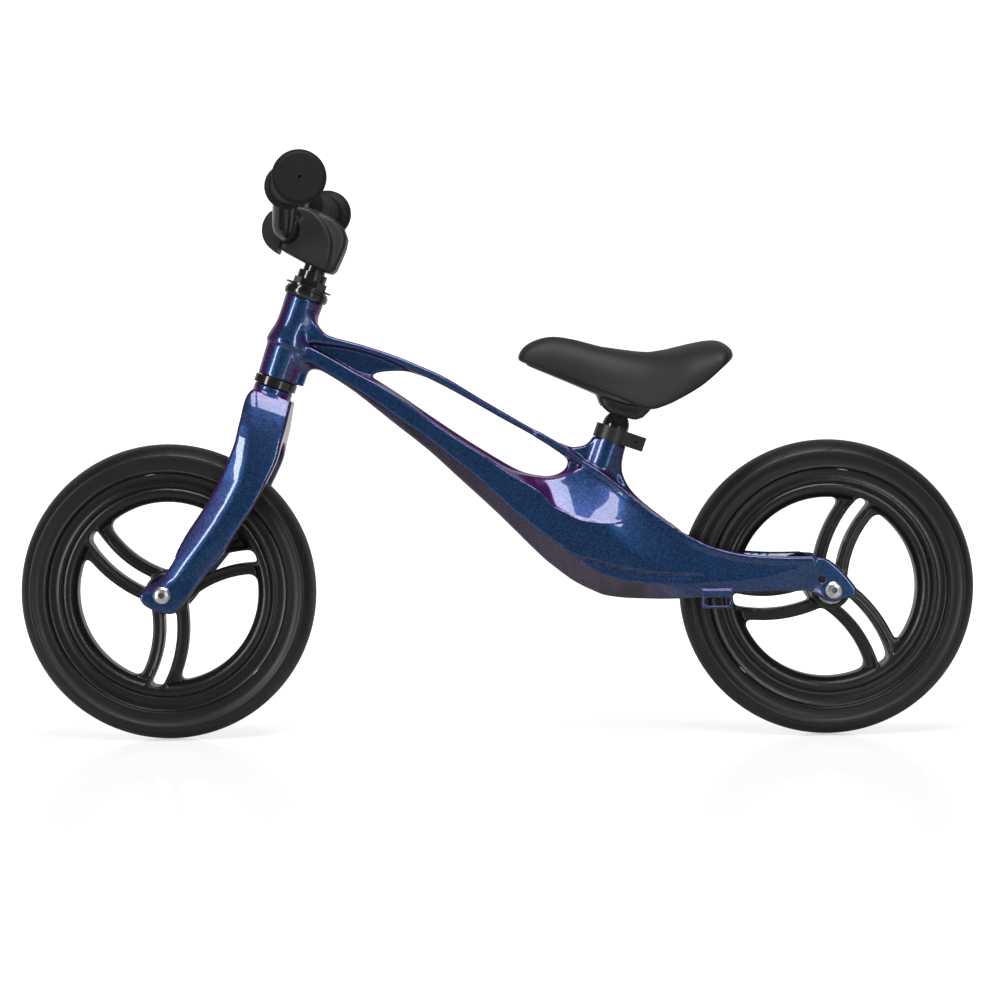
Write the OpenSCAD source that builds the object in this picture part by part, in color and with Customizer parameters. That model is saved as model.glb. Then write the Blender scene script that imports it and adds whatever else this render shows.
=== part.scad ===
// Child's balance bike: cast frame and fork, moulded wheels with foam tyres,
// threaded headset, quill stem with padded cover, height-adjustable saddle.
// The bike faces -X, so its left side is -Y; the ground is Z = 0, the middle plane is Y = 0.

/* [Wheels] */
// distance between the two wheel axles
wheelbase = 620; // [560:1:680]
// outer radius of a tyre
tyre_r = 139; // [130:0.5:150]
// radius where the tyre sits on the rim
bead_r = 111.5; // [105:0.5:118]
// half width of a tyre at its widest
tyre_half_w = 21.5; // [18:0.5:25]
// half width of the rim at the bead
rim_half_w = 16.5; // [13:0.5:19]
// inner radius of the rim, where the windows end
rim_inner_r = 84.8; // [80:0.1:92]
// overall width of one double-bar spoke
spoke_w = 34; // [28:0.5:40]
// width of the slot between the two bars of a spoke
slot_w = 11.6; // [8:0.2:15]
// radius of the arc a spoke follows
spoke_arc_r = 115; // [90:1:140]
// thickness of the spokes along the axle
spoke_t = 17; // [12:0.5:24]
// outer radius of the hub barrel
hub_r = 18.8; // [17:0.2:24]
// half length of the hub barrel
hub_half_l = 36; // [30:0.5:40]
// outer diameter of a wheel bearing
bearing_od = 28; // [24:1:32]
// bore of a wheel bearing
bearing_id = 12; // [10:1:15]
// width of a wheel bearing
bearing_w = 8; // [6:1:10]
// turn of the front wheel about its axle
front_phase = 20.5; // [0:0.5:120]
// turn of the rear wheel about its axle
rear_phase = 65.5; // [0:0.5:120]

/* [Axles] */
// distance between the inner faces of the dropouts
dropout_gap = 88; // [80:1:100]
// thickness of a dropout
dropout_t = 9; // [6:0.5:12]
// nominal diameter of the axle bolts
axle_bolt_d = 8; // [6:1:10]
// radius of an axle bolt head
axle_head_r = 8.3; // [7:0.1:10]
// bore of the small accessory hole beside the rear bolt
accessory_d = 6.4; // [5:0.1:8]

/* [Steering] */
// lean of the steering axis behind vertical
head_tilt = 19.6; // [15:0.1:24]
// length of the head tube
head_tube_l = 79.8; // [70:0.1:90]
// height of the steering stop ring
stop_ring_h = 7.6; // [6:0.1:10]
// outer diameter of the steering stop ring
stop_ring_d = 40.4; // [36:0.1:46]
// steering swing to each side
steer_swing = 45; // [30:1:60]
// outer diameter of the fork's steerer tube
steerer_od = 25.4; // [22:0.1:28.6]
// bore of the steerer tube
steerer_id = 21.7; // [19:0.1:25]
// diameter of the quill
quill_d = 21.1; // [18:0.1:24.5]
// forward reach of the stem
stem_reach = 36; // [20:1:60]
// height the quill can be raised
quill_travel = 45; // [20:1:60]

/* [Handlebar] */
// overall width of the handlebar with its grips
bar_w = 400; // [340:2:460]
// diameter of the handlebar tube
bar_d = 22.2; // [19:0.1:25.4]
// wall of the handlebar tube
bar_wall = 1.8; // [1:0.1:3]
// length of a grip
grip_l = 107; // [90:1:120]
// diameter of a grip's barrel
grip_d = 32; // [28:0.5:36]
// diameter of a grip's inner flange
grip_flange_d = 41; // [36:0.5:50]
// diameter of a grip's end bumper
grip_bumper_d = 47.4; // [40:0.2:56]

/* [Seat] */
// lean of the seat tube behind vertical
seat_tilt = 19.2; // [15:0.1:24]
// outer diameter of the seat tube
seat_tube_d = 28.6; // [27:0.1:32]
// diameter of the seatpost
seatpost_d = 25.4; // [22:0.1:28]
// height the saddle can be raised
seat_travel = 50; // [40:1:60]
// height of the seat clamp collar
clamp_h = 13.4; // [10:0.1:18]
// width of the saddle at its tail
saddle_w = 136; // [110:1:160]
// width of the saddle at its nose
saddle_nose_w = 50; // [40:1:70]

/* [Hidden] */
$fn = 72;
// side X Z of the steering origin, at the foot of the stop ring on the axis
head_o = [-208.8, 331];
// side X Z of the seat origin, at the foot of the clamp on the axis
seat_o = [107.1, 277.5];
axle_x = wheelbase / 2;
axle_z = tyre_r;
drop_in = dropout_gap / 2;
drop_out = drop_in + dropout_t;
head_seat = drop_out + 0.15;
fit = 0.3;
head_top = stop_ring_h + 0.4 + head_tube_l;
cup_h = 9;
steerer_top = head_top + 25.5;
steerer_r = steerer_od / 2;
bar_r = bar_d / 2;
pin_r = bearing_id / 2;
stem_z = 142;
// foot of the quill, low enough to stay in the steerer at full height
quill_low = 45 - quill_travel;
cover_half_w = 24;
tyre_gap = 8;

paint = [0.12, 0.2, 0.42];
black = [0.08, 0.08, 0.09];
rubber = [0.05, 0.05, 0.055];
zinc = [0.75, 0.76, 0.78];
steel = [0.55, 0.56, 0.58];

// ---------- curves ----------
function bend(a, b, c, d, t) = 0.5 * (2 * b + (c - a) * t + (2 * a - 5 * b + 4 * c - d) * t * t
    + (3 * b - a - 3 * c + d) * t * t * t);
// smooth open curve through the points, n steps to each span
function curve(p, n = 4) = concat([for (i = [0 : len(p) - 2]) for (k = [0 : n - 1])
    bend(p[max(i - 1, 0)], p[i], p[i + 1], p[min(i + 2, len(p) - 1)], k / n)], [p[len(p) - 1]]);
function mirrored(p) = [for (i = [len(p) - 1 : -1 : 0]) [p[i][0], -p[i][1]]];

// ---------- placing ----------
module at_head() { translate([head_o[0], 0, head_o[1]]) rotate([0, head_tilt, 0]) children(); }
module at_seat() { translate([seat_o[0], 0, seat_o[1]]) rotate([0, seat_tilt, 0]) children(); }
module at_front() { translate([-axle_x, 0, axle_z]) children(); }
module at_rear() { translate([axle_x, 0, axle_z]) children(); }
module both() { children(); mirror([0, 1, 0]) children(); }
function unit(v) = v / norm(v);
// turn Z to the direction d
module aim(d) rotate([0, acos(d[2] / norm(d)), atan2(d[1], d[0])]) children();
// side view outline (X, Z) made w wide across the middle plane
module side(p, w) { rotate([90, 0, 0]) translate([0, 0, -w / 2]) linear_extrude(w) polygon(p); }
// plan outline (X, Y) of half a member, made whole and tall
module plan(p) { linear_extrude(560) polygon(concat(p, mirrored(p))); }
// ring about Z from z0 to z1
module ring(r0, r1, z0, z1) {
    rotate_extrude() translate([r0, z0]) square([r1 - r0, z1 - z0]);
}
// rod along Y from y0 to y1
module rod_y(r, y0, y1) { translate([0, y0, 0]) rotate([-90, 0, 0]) cylinder(r = r, h = y1 - y0); }
module ring_y(r0, r1, y0, y1) { rotate([-90, 0, 0]) ring(r0, r1, y0, y1); }

// ---------- frame ----------
top_tube_upper = [[-178, 400], [-171, 396], [-166, 387.5], [-156, 378.5], [-126, 370], [-96, 360], [-72, 350],
    [-48, 339], [-12, 317], [27, 294], [60, 277], [72, 272.5], [84, 275], [93, 284], [97, 292]];
top_tube_lower = [[112, 262], [66, 264], [60, 266], [40, 280], [1, 302], [-38, 324.5],
    [-68, 340], [-84, 347], [-110, 358.5], [-140, 367], [-176, 372]];
opening_rim = [[-117, 340], [-96, 326], [-71, 309], [-52, 296], [-25, 278], [1, 262], [20, 251],
    [33, 246], [47, 244.5], [57, 247], [64, 252], [66.5, 259], [62, 266]];
web_left_edge = [[-117, 340], [-112, 343.5], [-99, 345], [-84, 344.5], [-68, 340]];
beam_under = [[193, 132], [171, 131], [132, 130], [105, 132], [92, 136], [72, 146], [53, 160],
    [39, 172], [7, 204], [-13, 223], [-39, 247], [-65, 271], [-100, 299], [-132, 325],
    [-156, 341], [-169, 347], [-186, 346]];
seat_tube_back = [[122, 282], [119, 272], [117, 258], [119, 245], [126, 232], [139, 219],
    [159, 203], [177, 189], [192, 182]];
stay_upper = [[163, 199], [177, 188], [192, 181.5], [213, 175], [234, 171],
    [262, 169], [290, 169], [302, 168.5], [309, 165], [321, 154], [331, 141], [332, 136]];
stay_lower = [[330, 132.5], [320, 130.5], [311, 128], [303, 129.5], [297, 133], [283, 136],
    [262, 137.5], [225, 136.8], [205, 135], [193, 132.5], [163, 131.5]];

beam_plan = [[-190, 15], [-160, 16], [-120, 17.5], [-60, 20.5], [0, 26], [40, 32], [80, 38.5],
    [120, 42.5], [160, 45.5], [200, 48.5]];
stay_plan_out = [[163, 45.7], [200, 48.5], [260, 51.5], [300, drop_out],
    [340, drop_out]];
stay_plan_in = [[340, drop_in], [286, drop_in], [262, 41], [225, 35], [190, 31], [163, 29]];
top_plan = [[-190, 14], [-150, 13.5], [-110, 12], [-60, 11], [0, 10.5], [50, 12], [80, 14],
    [125, 14.3]];
neck_plan = [[-130, 8], [-60, 9], [0, 12], [40, 15], [80, 17], [140, 18], [195, 26]];

// the broad beam from the head tube to the seat tube, its top edge dished later
beam_side = concat(curve([[-186, 372], [-174, 368], [-155, 358], [-131, 344], [-107, 331],
    [-84, 316], [-65, 301], [-39, 283], [-12, 266], [14, 251], [45, 244], [62, 246],
    [80, 254], [98, 246], [111, 236.5], [130, 221], [149, 207], [169, 194], [192, 182]], 3),
    curve(beam_under, 3));

// crease where the side face turns into the sloping underside: X, half width, Z
beam_crease = [[-175, 15, 355], [-13, 24.6, 241], [65, 36, 176], [117, 42.3, 149],
    [215, 49.5, 144]];
module bevel(p, q) {
    d = q - p;
    both() translate([p[0], -p[1], p[2]])
        rotate([0, asin(-d[2] / norm(d)), -atan2(d[1], d[0])]) rotate([30, 0, 0])
            translate([-4, -60, -60]) cube([norm(d) + 8, 60, 60]);
}
// long shallow hollow in each side under the seat tube, spindle shaped
scoop_from = [34, -38, 255];
scoop_to = [140, -54, 201];
scoop_r = 20.5;
module scoop() both() translate(scoop_from) aim(scoop_to - scoop_from) {
    l = norm(scoop_to - scoop_from);
    rotate_extrude() polygon(concat([[0, l], [0, 0]],
        [for (k = [1 : 9]) [scoop_r * pow(sin(18 * k), 0.6), l * (1 - cos(18 * k)) / 2]]));
}
module head_tube() {
    profile = [[0, 8], [18.6, 8], [20.4, 39], [21.6, 41], [21.2, 46], [18.6, 57], [17.9, 64],
        [17.9, 76], [18.4, head_top], [0, head_top]];
    at_head() {
        rotate_extrude() polygon(profile);
        // lug that carries the steering stop
        translate([13, -8, 9]) cube([12.5, 16, 25]);
        translate([16.9, -4, 4.2]) cube([1.6, 8, 6]);
    }
}
module slotted_bracket() {
    difference() {
        translate([189, -49.5, 122.5]) cube([28, 4.5, 15.5]);
        for (x = [195, 211]) translate([x, -50, 128.8]) rotate([-90, 0, 0])
            cylinder(r = 3.6, h = 6);
        translate([195, -50, 125.2]) cube([16, 6, 7.2]);
    }
    translate([188, -50.5, 137]) cube([30, 7, 3]);
}
module casting() difference() {
    union() {
        difference() {
            union() {
                intersection() { side(beam_side, 120); plan(beam_plan); }
                intersection() {
                    side(concat(curve(opening_rim, 2), curve(seat_tube_back, 2),
                        [[160, 180], [60, 200], [-60, 290], [-129, 341]]), 80);
                    plan(neck_plan);
                }
            }
            scoop();
            for (i = [0 : len(beam_crease) - 2]) bevel(beam_crease[i], beam_crease[i + 1]);
        }
        intersection() {
            side(concat(curve(top_tube_upper, 3), curve(top_tube_lower, 3)), 60);
            plan(top_plan);
        }
        // thin web closing the corner between the two tubes
        side(concat(curve(web_left_edge, 2), [[-60, 342], [-96, 355], [-140, 369],
            [-182, 378], [-170, 357], [-119, 334]]), 7);
        both() intersection() {
            side(concat(curve(stay_upper, 3), curve(stay_lower, 3)), 120);
            linear_extrude(300) polygon([for (p = concat(stay_plan_out, stay_plan_in))
                [p[0], -p[1]]]);
        }
        at_seat() translate([0, 0, -62]) cylinder(d = seat_tube_d, h = 62 + clamp_h - 1);
        head_tube();
        both() slotted_bracket();
    }
    // room for the rear tyre between the stays
    at_rear() rod_y(tyre_r + tyre_gap, -28.5, 28.5);
    // head tube bore, wider where the cups press in
    at_head() {
        translate([0, 0, -5]) cylinder(r = 14, h = 120);
        translate([0, 0, -5]) cylinder(r = 15.1, h = 24);
        translate([0, 0, head_top - 11]) cylinder(r = 15.1, h = 12);
    }
    // seat tube bore and the slit the clamp closes
    at_seat() {
        translate([0, 0, -118]) cylinder(d = seatpost_d + 0.6, h = 160);
        translate([8, -1, -22]) cube([12, 2, 50]);
        // seat for the clamp collar
        ring(seat_tube_d / 2, 36, -fit, 40);
    }
    at_rear() {
        rod_y(axle_bolt_d / 2 + 0.2, -60, 60);
        translate([-10.4, 0, 9.6]) rod_y(accessory_d / 2, -60, 60);
    }
}

// the casting is drawn in three pieces that meet at this X
split_x = 186;
module frame() color(paint) intersection() {
    casting();
    translate([split_x - 600, -100, 0]) cube([600, 200, 600]);
}
module stay_left() color(paint) intersection() {
    casting();
    translate([split_x, -100, 0]) cube([200, 100, 300]);
}
module stay_right() color(paint) mirror([0, 1, 0]) stay_left();

// ---------- headset ----------
module upper_cup() color(black) at_head() difference() {
    union() {
        ring(13.4, 15.1, head_top - 10.5, head_top + 1);
        rotate_extrude() polygon([[13.4, head_top], [19.4, head_top], [20.4, head_top + 1.6],
            [20.8, head_top + 3], [20.8, head_top + 6.4], [19.6, head_top + 7.2],
            [19.6, head_top + cup_h], [13.4, head_top + cup_h]]);
    }
    translate([0, 0, head_top + 3]) cylinder(r = 18, h = cup_h);
}
module lower_cup() color(black) at_head() difference() {
    ring(13.4, 15.1, 8, 19);
    translate([0, 0, 7]) cylinder(r = 14.5, h = 4.5);
}
module upper_bearing() color(steel) at_head() ring(13.4, 17.8, head_top + 3, head_top + 7.6);
module lower_bearing() color(steel) at_head() ring(13.1, 14.5, 6, 11.4);
module crown_race() color(steel) at_head() ring(steerer_r, 14.4, 0, 5.6);
module stop_ring() color(black) at_head() difference() {
    ring(14.8, stop_ring_d / 2, 0, stop_ring_h);
    // arc groove the frame's tongue runs in
    rotate([0, 0, -steer_swing - 15]) rotate_extrude(angle = 2 * steer_swing + 30)
        translate([16.5, 3.6]) square([2.8, 6]);
}
module top_race() color(black) at_head()
    ring(steerer_r, 17.4, head_top + 7.9, head_top + 10.2);
module lock_washer() color(black) at_head()
    ring(steerer_r, 21.8, head_top + 10.2, head_top + 11.8);
module locknut() color(black) at_head() difference() {
    union() {
        translate([0, 0, head_top + 11.8]) cylinder(r = 15.8, h = 6.2, $fn = 6);
        translate([0, 0, head_top + 18]) cylinder(r = 13.8, h = 7.5);
    }
    translate([0, 0, head_top]) cylinder(r = steerer_r, h = 40);
}

// ---------- fork ----------
blade_front = [[-236, 327], [-237, 318], [-238, 306], [-241, 291], [-244, 278], [-251, 260],
    [-260, 240], [-273, 218], [-293, 190], [-312, 164.5], [-325, 149.5], [-330.5, 140],
    [-329, 132], [-320, 125.5], [-306, 121.5], [-298, 122.5], [-290.5, 130]];
blade_back = [[-275, 151], [-253, 178], [-238, 201], [-225, 220], [-214, 241], [-204, 262],
    [-200, 278], [-196, 293], [-192, 312], [-190, 317]];
fork_front_out = [[17, -9], [26, -10.5], [36, -17], [42, -27], [46, -45], [48, -80],
    [50, -130], [52, -180], [drop_out, -205], [drop_out, -245]];
fork_front_in = [[drop_in, -245], [drop_in, -190], [41, -172], [35, -140], [31, -100],
    [29, -76], [25, -60], [15, -50], [0, -47]];

module fork() color(paint) difference() {
    union() {
        intersection() {
            side(concat(curve(blade_front, 3), curve(blade_back, 3)), 120);
            at_head() rotate([90, 0, -90]) translate([0, 0, -60]) linear_extrude(220)
                polygon(concat(curve(fork_front_out, 3), curve(fork_front_in, 3),
                    [for (p = curve([for (i = [len(fork_front_in) - 2 : -1 : 0])
                        fork_front_in[i]], 3)) [-p[0], p[1]]],
                    [for (p = curve([for (i = [len(fork_front_out) - 1 : -1 : 0])
                        fork_front_out[i]], 3)) [-p[0], p[1]]]));
        }
        at_head() translate([0, 0, -26]) cylinder(r = 18.4, h = 26);
    }
    at_head() translate([0, 0, -80]) cylinder(r = steerer_r, h = 100);
    at_front() rod_y(axle_bolt_d / 2 + 0.2, -60, 60);
}
module steerer_tube() color(steel) at_head()
    ring(steerer_id / 2, steerer_r, -42, steerer_top - 1);

// ---------- wheels ----------
rim_section = [[rim_inner_r, -9], [89.5, -9], [90.5, -12.5], [93.5, -15.6], [98, rim_half_w * -1],
    [101, -16], [103, -14.6], [bead_r, -14.2], [bead_r, 14.2], [103, 14.6], [101, 16],
    [98, rim_half_w], [93.5, 15.6], [90.5, 12.5], [89.5, 9], [rim_inner_r, 9]];
tyre_section = [[bead_r, -14.2], [bead_r + 0.8, -17.6], [bead_r + 4, -20.4],
    [bead_r + 9, -tyre_half_w], [bead_r + 14.5, -20.8], [bead_r + 19.5, -17.8],
    [bead_r + 23.6, -13], [bead_r + 26.3, -7], [tyre_r, 0]];

module spoke_band(w, turn) {
    rotate(turn) translate([50, -106]) difference() {
        circle(r = spoke_arc_r + w / 2, $fn = 180);
        circle(r = spoke_arc_r - w / 2, $fn = 180);
    }
}
module wheel_body() {
    rotate([90, 0, 0]) {
        rotate_extrude($fn = 180) polygon(rim_section);
        difference() {
            union() {
                for (k = [0 : 2]) intersection() {
                    translate([0, 0, -spoke_t / 2]) linear_extrude(spoke_t)
                        spoke_band(spoke_w, 120 * k);
                    rotate([0, 0, 120 * k - 75]) translate([0, 0, -20])
                        rotate_extrude(angle = 130, $fn = 180) square([88, 40]);
                }
                // slot rim standing against the rim wall
                for (k = [0 : 2]) rotate([0, 0, 120 * k]) translate([84, 2.6, -11.5])
                    cylinder(r = 10.4, h = 23);
                cylinder(r = 30, h = spoke_t, center = true);
            }
            for (k = [0 : 2]) intersection() {
                translate([0, 0, -20]) linear_extrude(40) spoke_band(slot_w, 120 * k);
                rotate([0, 0, 120 * k - 45]) translate([0, 0, -20])
                    rotate_extrude(angle = 90, $fn = 180) translate([25, 0]) square([63.5, 40]);
            }
        }
        cylinder(r = hub_r, h = 2 * hub_half_l, center = true);
    }
}
module wheel_bores() {
    rod_y(10, -60, 60);
    rod_y(bearing_od / 2, hub_half_l - bearing_w, 60);
    rod_y(bearing_od / 2, -60, bearing_w - hub_half_l);
}
// shallow tread cuts, leaning like blades round each shoulder
module tread_cuts() {
    for (k = [0 : 17]) both() rotate([0, 20 * k, 0]) translate([0, -14.2, tyre_r - 4.7])
        rotate([41, 0, 0]) rotate([0, 0, 32]) cube([3, 12, 3.2], center = true);
}
module wheel(phase) color(black) rotate([0, -phase, 0]) difference() {
    wheel_body();
    wheel_bores();
}
module tyre(phase) color(rubber) rotate([0, -phase, 0]) difference() {
    rotate([90, 0, 0]) rotate_extrude($fn = 180) polygon(concat(curve(tyre_section, 2),
        [for (i = [len(tyre_section) - 2 : -1 : 0])
            [tyre_section[i][0], -tyre_section[i][1]]]));
    tread_cuts();
}
module bearing(s) color(zinc)
    ring_y(pin_r + 0.05, bearing_od / 2, s < 0 ? -hub_half_l : hub_half_l - bearing_w,
        s < 0 ? bearing_w - hub_half_l : hub_half_l);
module hub_sleeve() color(steel)
    ring_y(pin_r + 0.3, 8.2, bearing_w - hub_half_l, hub_half_l - bearing_w);
module axle() color(steel) difference() {
    rod_y(pin_r, -drop_in, drop_in);
    for (s = [-1, 1]) translate([0, s * (drop_in - 9), 0])
        rod_y(axle_bolt_d / 2 - 0.6, -9.01, 9.01);
}
module spacer(s) color(steel)
    ring_y(pin_r, 9, s < 0 ? -drop_in : hub_half_l + fit, s < 0 ? -hub_half_l - fit : drop_in);
module axle_bolt(s) color(zinc) mirror([0, s > 0 ? 1 : 0, 0]) difference() {
    union() {
        rod_y(axle_bolt_d / 2 - 0.6, -drop_out, -drop_in + 16);
        rotate([-90, 0, 0]) rotate_extrude() polygon([[0, -head_seat - 4.4], [3.6, -head_seat - 4.3],
            [6, -head_seat - 3.6], [7.6, -head_seat - 2.2], [axle_head_r, -head_seat - 0.7],
            [axle_head_r, -head_seat], [0, -head_seat]]);
    }
    translate([0, -drop_out - 5, 0]) rotate([-90, 0, 0]) cylinder(r = 2.9, h = 3.4, $fn = 6);
}

module front_wheel() at_front() wheel(front_phase);
module front_tyre() at_front() tyre(front_phase);
module front_bearing_left() at_front() bearing(-1);
module front_bearing_right() at_front() bearing(1);
module front_hub_sleeve() at_front() hub_sleeve();
module front_axle() at_front() axle();
module front_spacer_left() at_front() spacer(-1);
module front_spacer_right() at_front() spacer(1);
module front_bolt_left() at_front() axle_bolt(-1);
module front_bolt_right() at_front() axle_bolt(1);
module rear_wheel() at_rear() wheel(rear_phase);
module rear_tyre() at_rear() tyre(rear_phase);
module rear_bearing_left() at_rear() bearing(-1);
module rear_bearing_right() at_rear() bearing(1);
module rear_hub_sleeve() at_rear() hub_sleeve();
module rear_axle() at_rear() axle();
module rear_spacer_left() at_rear() spacer(-1);
module rear_spacer_right() at_rear() spacer(1);
module rear_bolt_left() at_rear() axle_bolt(-1);
module rear_bolt_right() at_rear() axle_bolt(1);

// ---------- stem and handlebar ----------
module quill() color(black) at_head() difference() {
    translate([0, 0, quill_low]) cylinder(d = quill_d, h = 139.5 - quill_low);
    translate([0, 0, quill_low - 1]) cylinder(r = 4.4, h = 200);
    translate([0, 0, quill_low + 12]) rotate([0, 30, 0]) translate([-30, -30, -40])
        cube([60, 60, 40]);
}
module quill_wedge() color(steel) at_head() difference() {
    translate([0, 0, quill_low - 14]) cylinder(d = quill_d, h = 36);
    translate([0, 0, quill_low - 20]) cylinder(r = 3.4, h = 60);
    translate([0, 0, quill_low + 11.6]) rotate([0, 30, 0]) translate([-30, -30, 0])
        cube([60, 60, 60]);
}
module quill_bolt() color(zinc) at_head() difference() {
    union() {
        translate([0, 0, quill_low - 13]) cylinder(r = 3.4, h = 154 - quill_low);
        translate([0, 0, 140]) cylinder(r = 6.5, h = 8);
    }
    translate([0, 0, 143]) cylinder(r = 3.5, h = 6, $fn = 6);
}
module stem() color(black) at_head() difference() {
    union() {
        translate([0, 0, 122.5]) cylinder(r = 15.4, h = 31);
        translate([-stem_reach, -14, 127]) cube([stem_reach, 28, 25]);
        translate([-stem_reach, 0, stem_z]) rod_y(16.5, -20, 20);
        translate([-stem_reach, -19, 126]) cube([13, 38, 32]);
    }
    translate([0, 0, 121]) cylinder(d = quill_d, h = 19);
    translate([0, 0, 139]) cylinder(r = 8, h = 30);
    translate([-stem_reach, 0, stem_z]) rod_y(bar_r, -30, 30);
    translate([-stem_reach - 30, -30, 120]) cube([31, 60, 50]);
    for (y = [-13, 13]) translate([-stem_reach, y, stem_z + 14]) rotate([0, 90, 0])
        cylinder(r = 2, h = 11);
}
module stem_cap() color(black) at_head() difference() {
    union() {
        translate([-stem_reach, 0, stem_z]) rod_y(21.5, -21, 21);
        // two comfort ribs standing proud of the cap
        for (y = [-15, 0, 15]) translate([-stem_reach, 0, stem_z]) rod_y(22.6, y - 2, y + 2);
    }
    translate([-stem_reach, 0, stem_z]) rod_y(bar_r, -30, 30);
    translate([-stem_reach - 1, -30, 100]) cube([40, 60, 80]);
    for (y = [-13, 13]) translate([-stem_reach - 30, y, stem_z + 14]) rotate([0, 90, 0]) {
        cylinder(r = 2.5, h = 40);
        cylinder(r = 4.4, h = 22);
    }
}
module stem_screw(y) color(zinc) at_head() translate([-stem_reach, y, stem_z + 14])
    rotate([0, 90, 0]) difference() {
        union() {
            translate([0, 0, -8]) cylinder(r = 2, h = 18);
            translate([0, 0, -12]) cylinder(r = 4.1, h = 4);
        }
        translate([0, 0, -13]) cylinder(r = 2, h = 3.5, $fn = 6);
    }
module stem_screw_left() stem_screw(-13);
module stem_screw_right() stem_screw(13);

cover_outline = [[-35.5, 123.5], [-33, 150], [-27, 158], [-34, 163], [-33, 166.5], [-22, 168.6],
    [-8, 168.4], [3, 166.5], [14, 161.5], [20, 154], [21.4, 145], [20.6, 132], [19.6, 122],
    [17, 118], [12, 117.2], [-8, 119]];
module stem_cover() color(black) at_head() difference() {
    side(cover_outline, 2 * cover_half_w);
    side([[-40, 125.4], [-40, 160.5], [-16, 161], [10, 159.5], [16.6, 152],
        [16.6, 121.5], [-12, 121.5]], 2 * cover_half_w - 5);
    translate([-stem_reach, 0, stem_z]) rod_y(bar_r + 1.2, -30, 30);
    translate([-stem_reach - 29.5, -30, 100]) cube([30, 60, 80]);
    translate([0, 0, 110]) cylinder(d = quill_d + 1, h = 20);
}

// round elbow from p turning direction a to b on radius big, tube radius r
module elbow(corner, a, b, big, r) {
    half = acos(a * b) / 2;
    back = big * tan(half);
    n = unit(cross(a, b));
    start = corner - back * a;
    centre = start + big * unit(b - (a * b) * a);
    toward = unit(start - centre);
    e1 = [cos(acos(n[2])) * cos(atan2(n[1], n[0])), cos(acos(n[2])) * sin(atan2(n[1], n[0])),
        -sin(acos(n[2]))];
    e2 = [-sin(atan2(n[1], n[0])), cos(atan2(n[1], n[0])), 0];
    translate(centre) aim(n) rotate([0, 0, atan2(toward * e2, toward * e1)])
        rotate_extrude(angle = 2 * half) translate([big, 0]) circle(r = r + lap_step, $fn = 48);
}
bar_mid = [head_o[0] + stem_z * sin(head_tilt) - stem_reach * cos(head_tilt), 0,
    head_o[1] + stem_z * cos(head_tilt) + stem_reach * sin(head_tilt)];
bar_k1 = bar_mid + [0, -40, 0];
bar_k2 = bar_mid + [5, -82, 33];
bar_end = [bar_mid[0] + 26, -bar_w / 2 + 5, bar_mid[2] + 32];
bend_r = 30;
dir_0 = [0, -1, 0];
dir_1 = unit(bar_k2 - bar_k1);
dir_2 = unit(bar_end - bar_k2);
cut_1 = bend_r * tan(acos(dir_0 * dir_1) / 2);
cut_2 = bend_r * tan(acos(dir_1 * dir_2) / 2);
// each straight run laps into its elbow, which is swollen a little to take it
lap = 1.5;
lap_step = 0.15;
bar_flat = -bar_k1[1] - cut_1 + lap;
module tube_run(p, q, r) translate(p) aim(q - p) cylinder(r = r, h = norm(q - p));
module handlebar() color(black) difference() {
    union() {
        translate(bar_mid) rod_y(bar_r, -bar_flat, bar_flat);
        both() {
            elbow(bar_k1, dir_0, dir_1, bend_r, bar_r);
            tube_run(bar_k1 + (cut_1 - lap) * dir_1, bar_k2 - (cut_2 - lap) * dir_1, bar_r);
            elbow(bar_k2, dir_1, dir_2, bend_r, bar_r);
            tube_run(bar_k2 + (cut_2 - lap) * dir_2, bar_end, bar_r);
        }
    }
    both() tube_run(bar_k2 + (cut_2 + 12) * dir_2, bar_end + dir_2, bar_r - bar_wall);
}
module grip() translate(bar_end + 5 * dir_2) aim(-dir_2) difference() {
    rotate_extrude() polygon([[0, 0], [grip_bumper_d / 2 - 3.5, 0], [grip_bumper_d / 2 - 2.2, 0.6],
        [grip_bumper_d / 2 - 2, 1.4], [grip_bumper_d / 2 - 0.6, 1.6], [grip_bumper_d / 2, 3],
        [grip_bumper_d / 2, 9], [grip_bumper_d / 2 - 1.5, 11.5], [grip_d / 2 + 1, 15],
        [grip_d / 2, 18], [grip_d / 2, grip_l - 9], [grip_d / 2 + 1.2, grip_l - 6],
        [grip_flange_d / 2 - 0.8, grip_l - 4.5], [grip_flange_d / 2, grip_l - 3.4],
        [grip_flange_d / 2, grip_l - 1], [grip_flange_d / 2 - 1, grip_l], [0, grip_l]]);
    translate([0, 0, 5]) cylinder(r = bar_r, h = grip_l);
    translate([0, 0, -1]) cylinder(r = 1.3, h = 8);
    for (k = [0 : 5]) ring(grip_d / 2 - 0.8, grip_d, 26 + 11 * k, 28 + 11 * k);
}
module grip_left() color(rubber) grip();
module grip_right() color(rubber) mirror([0, 1, 0]) grip();

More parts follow.
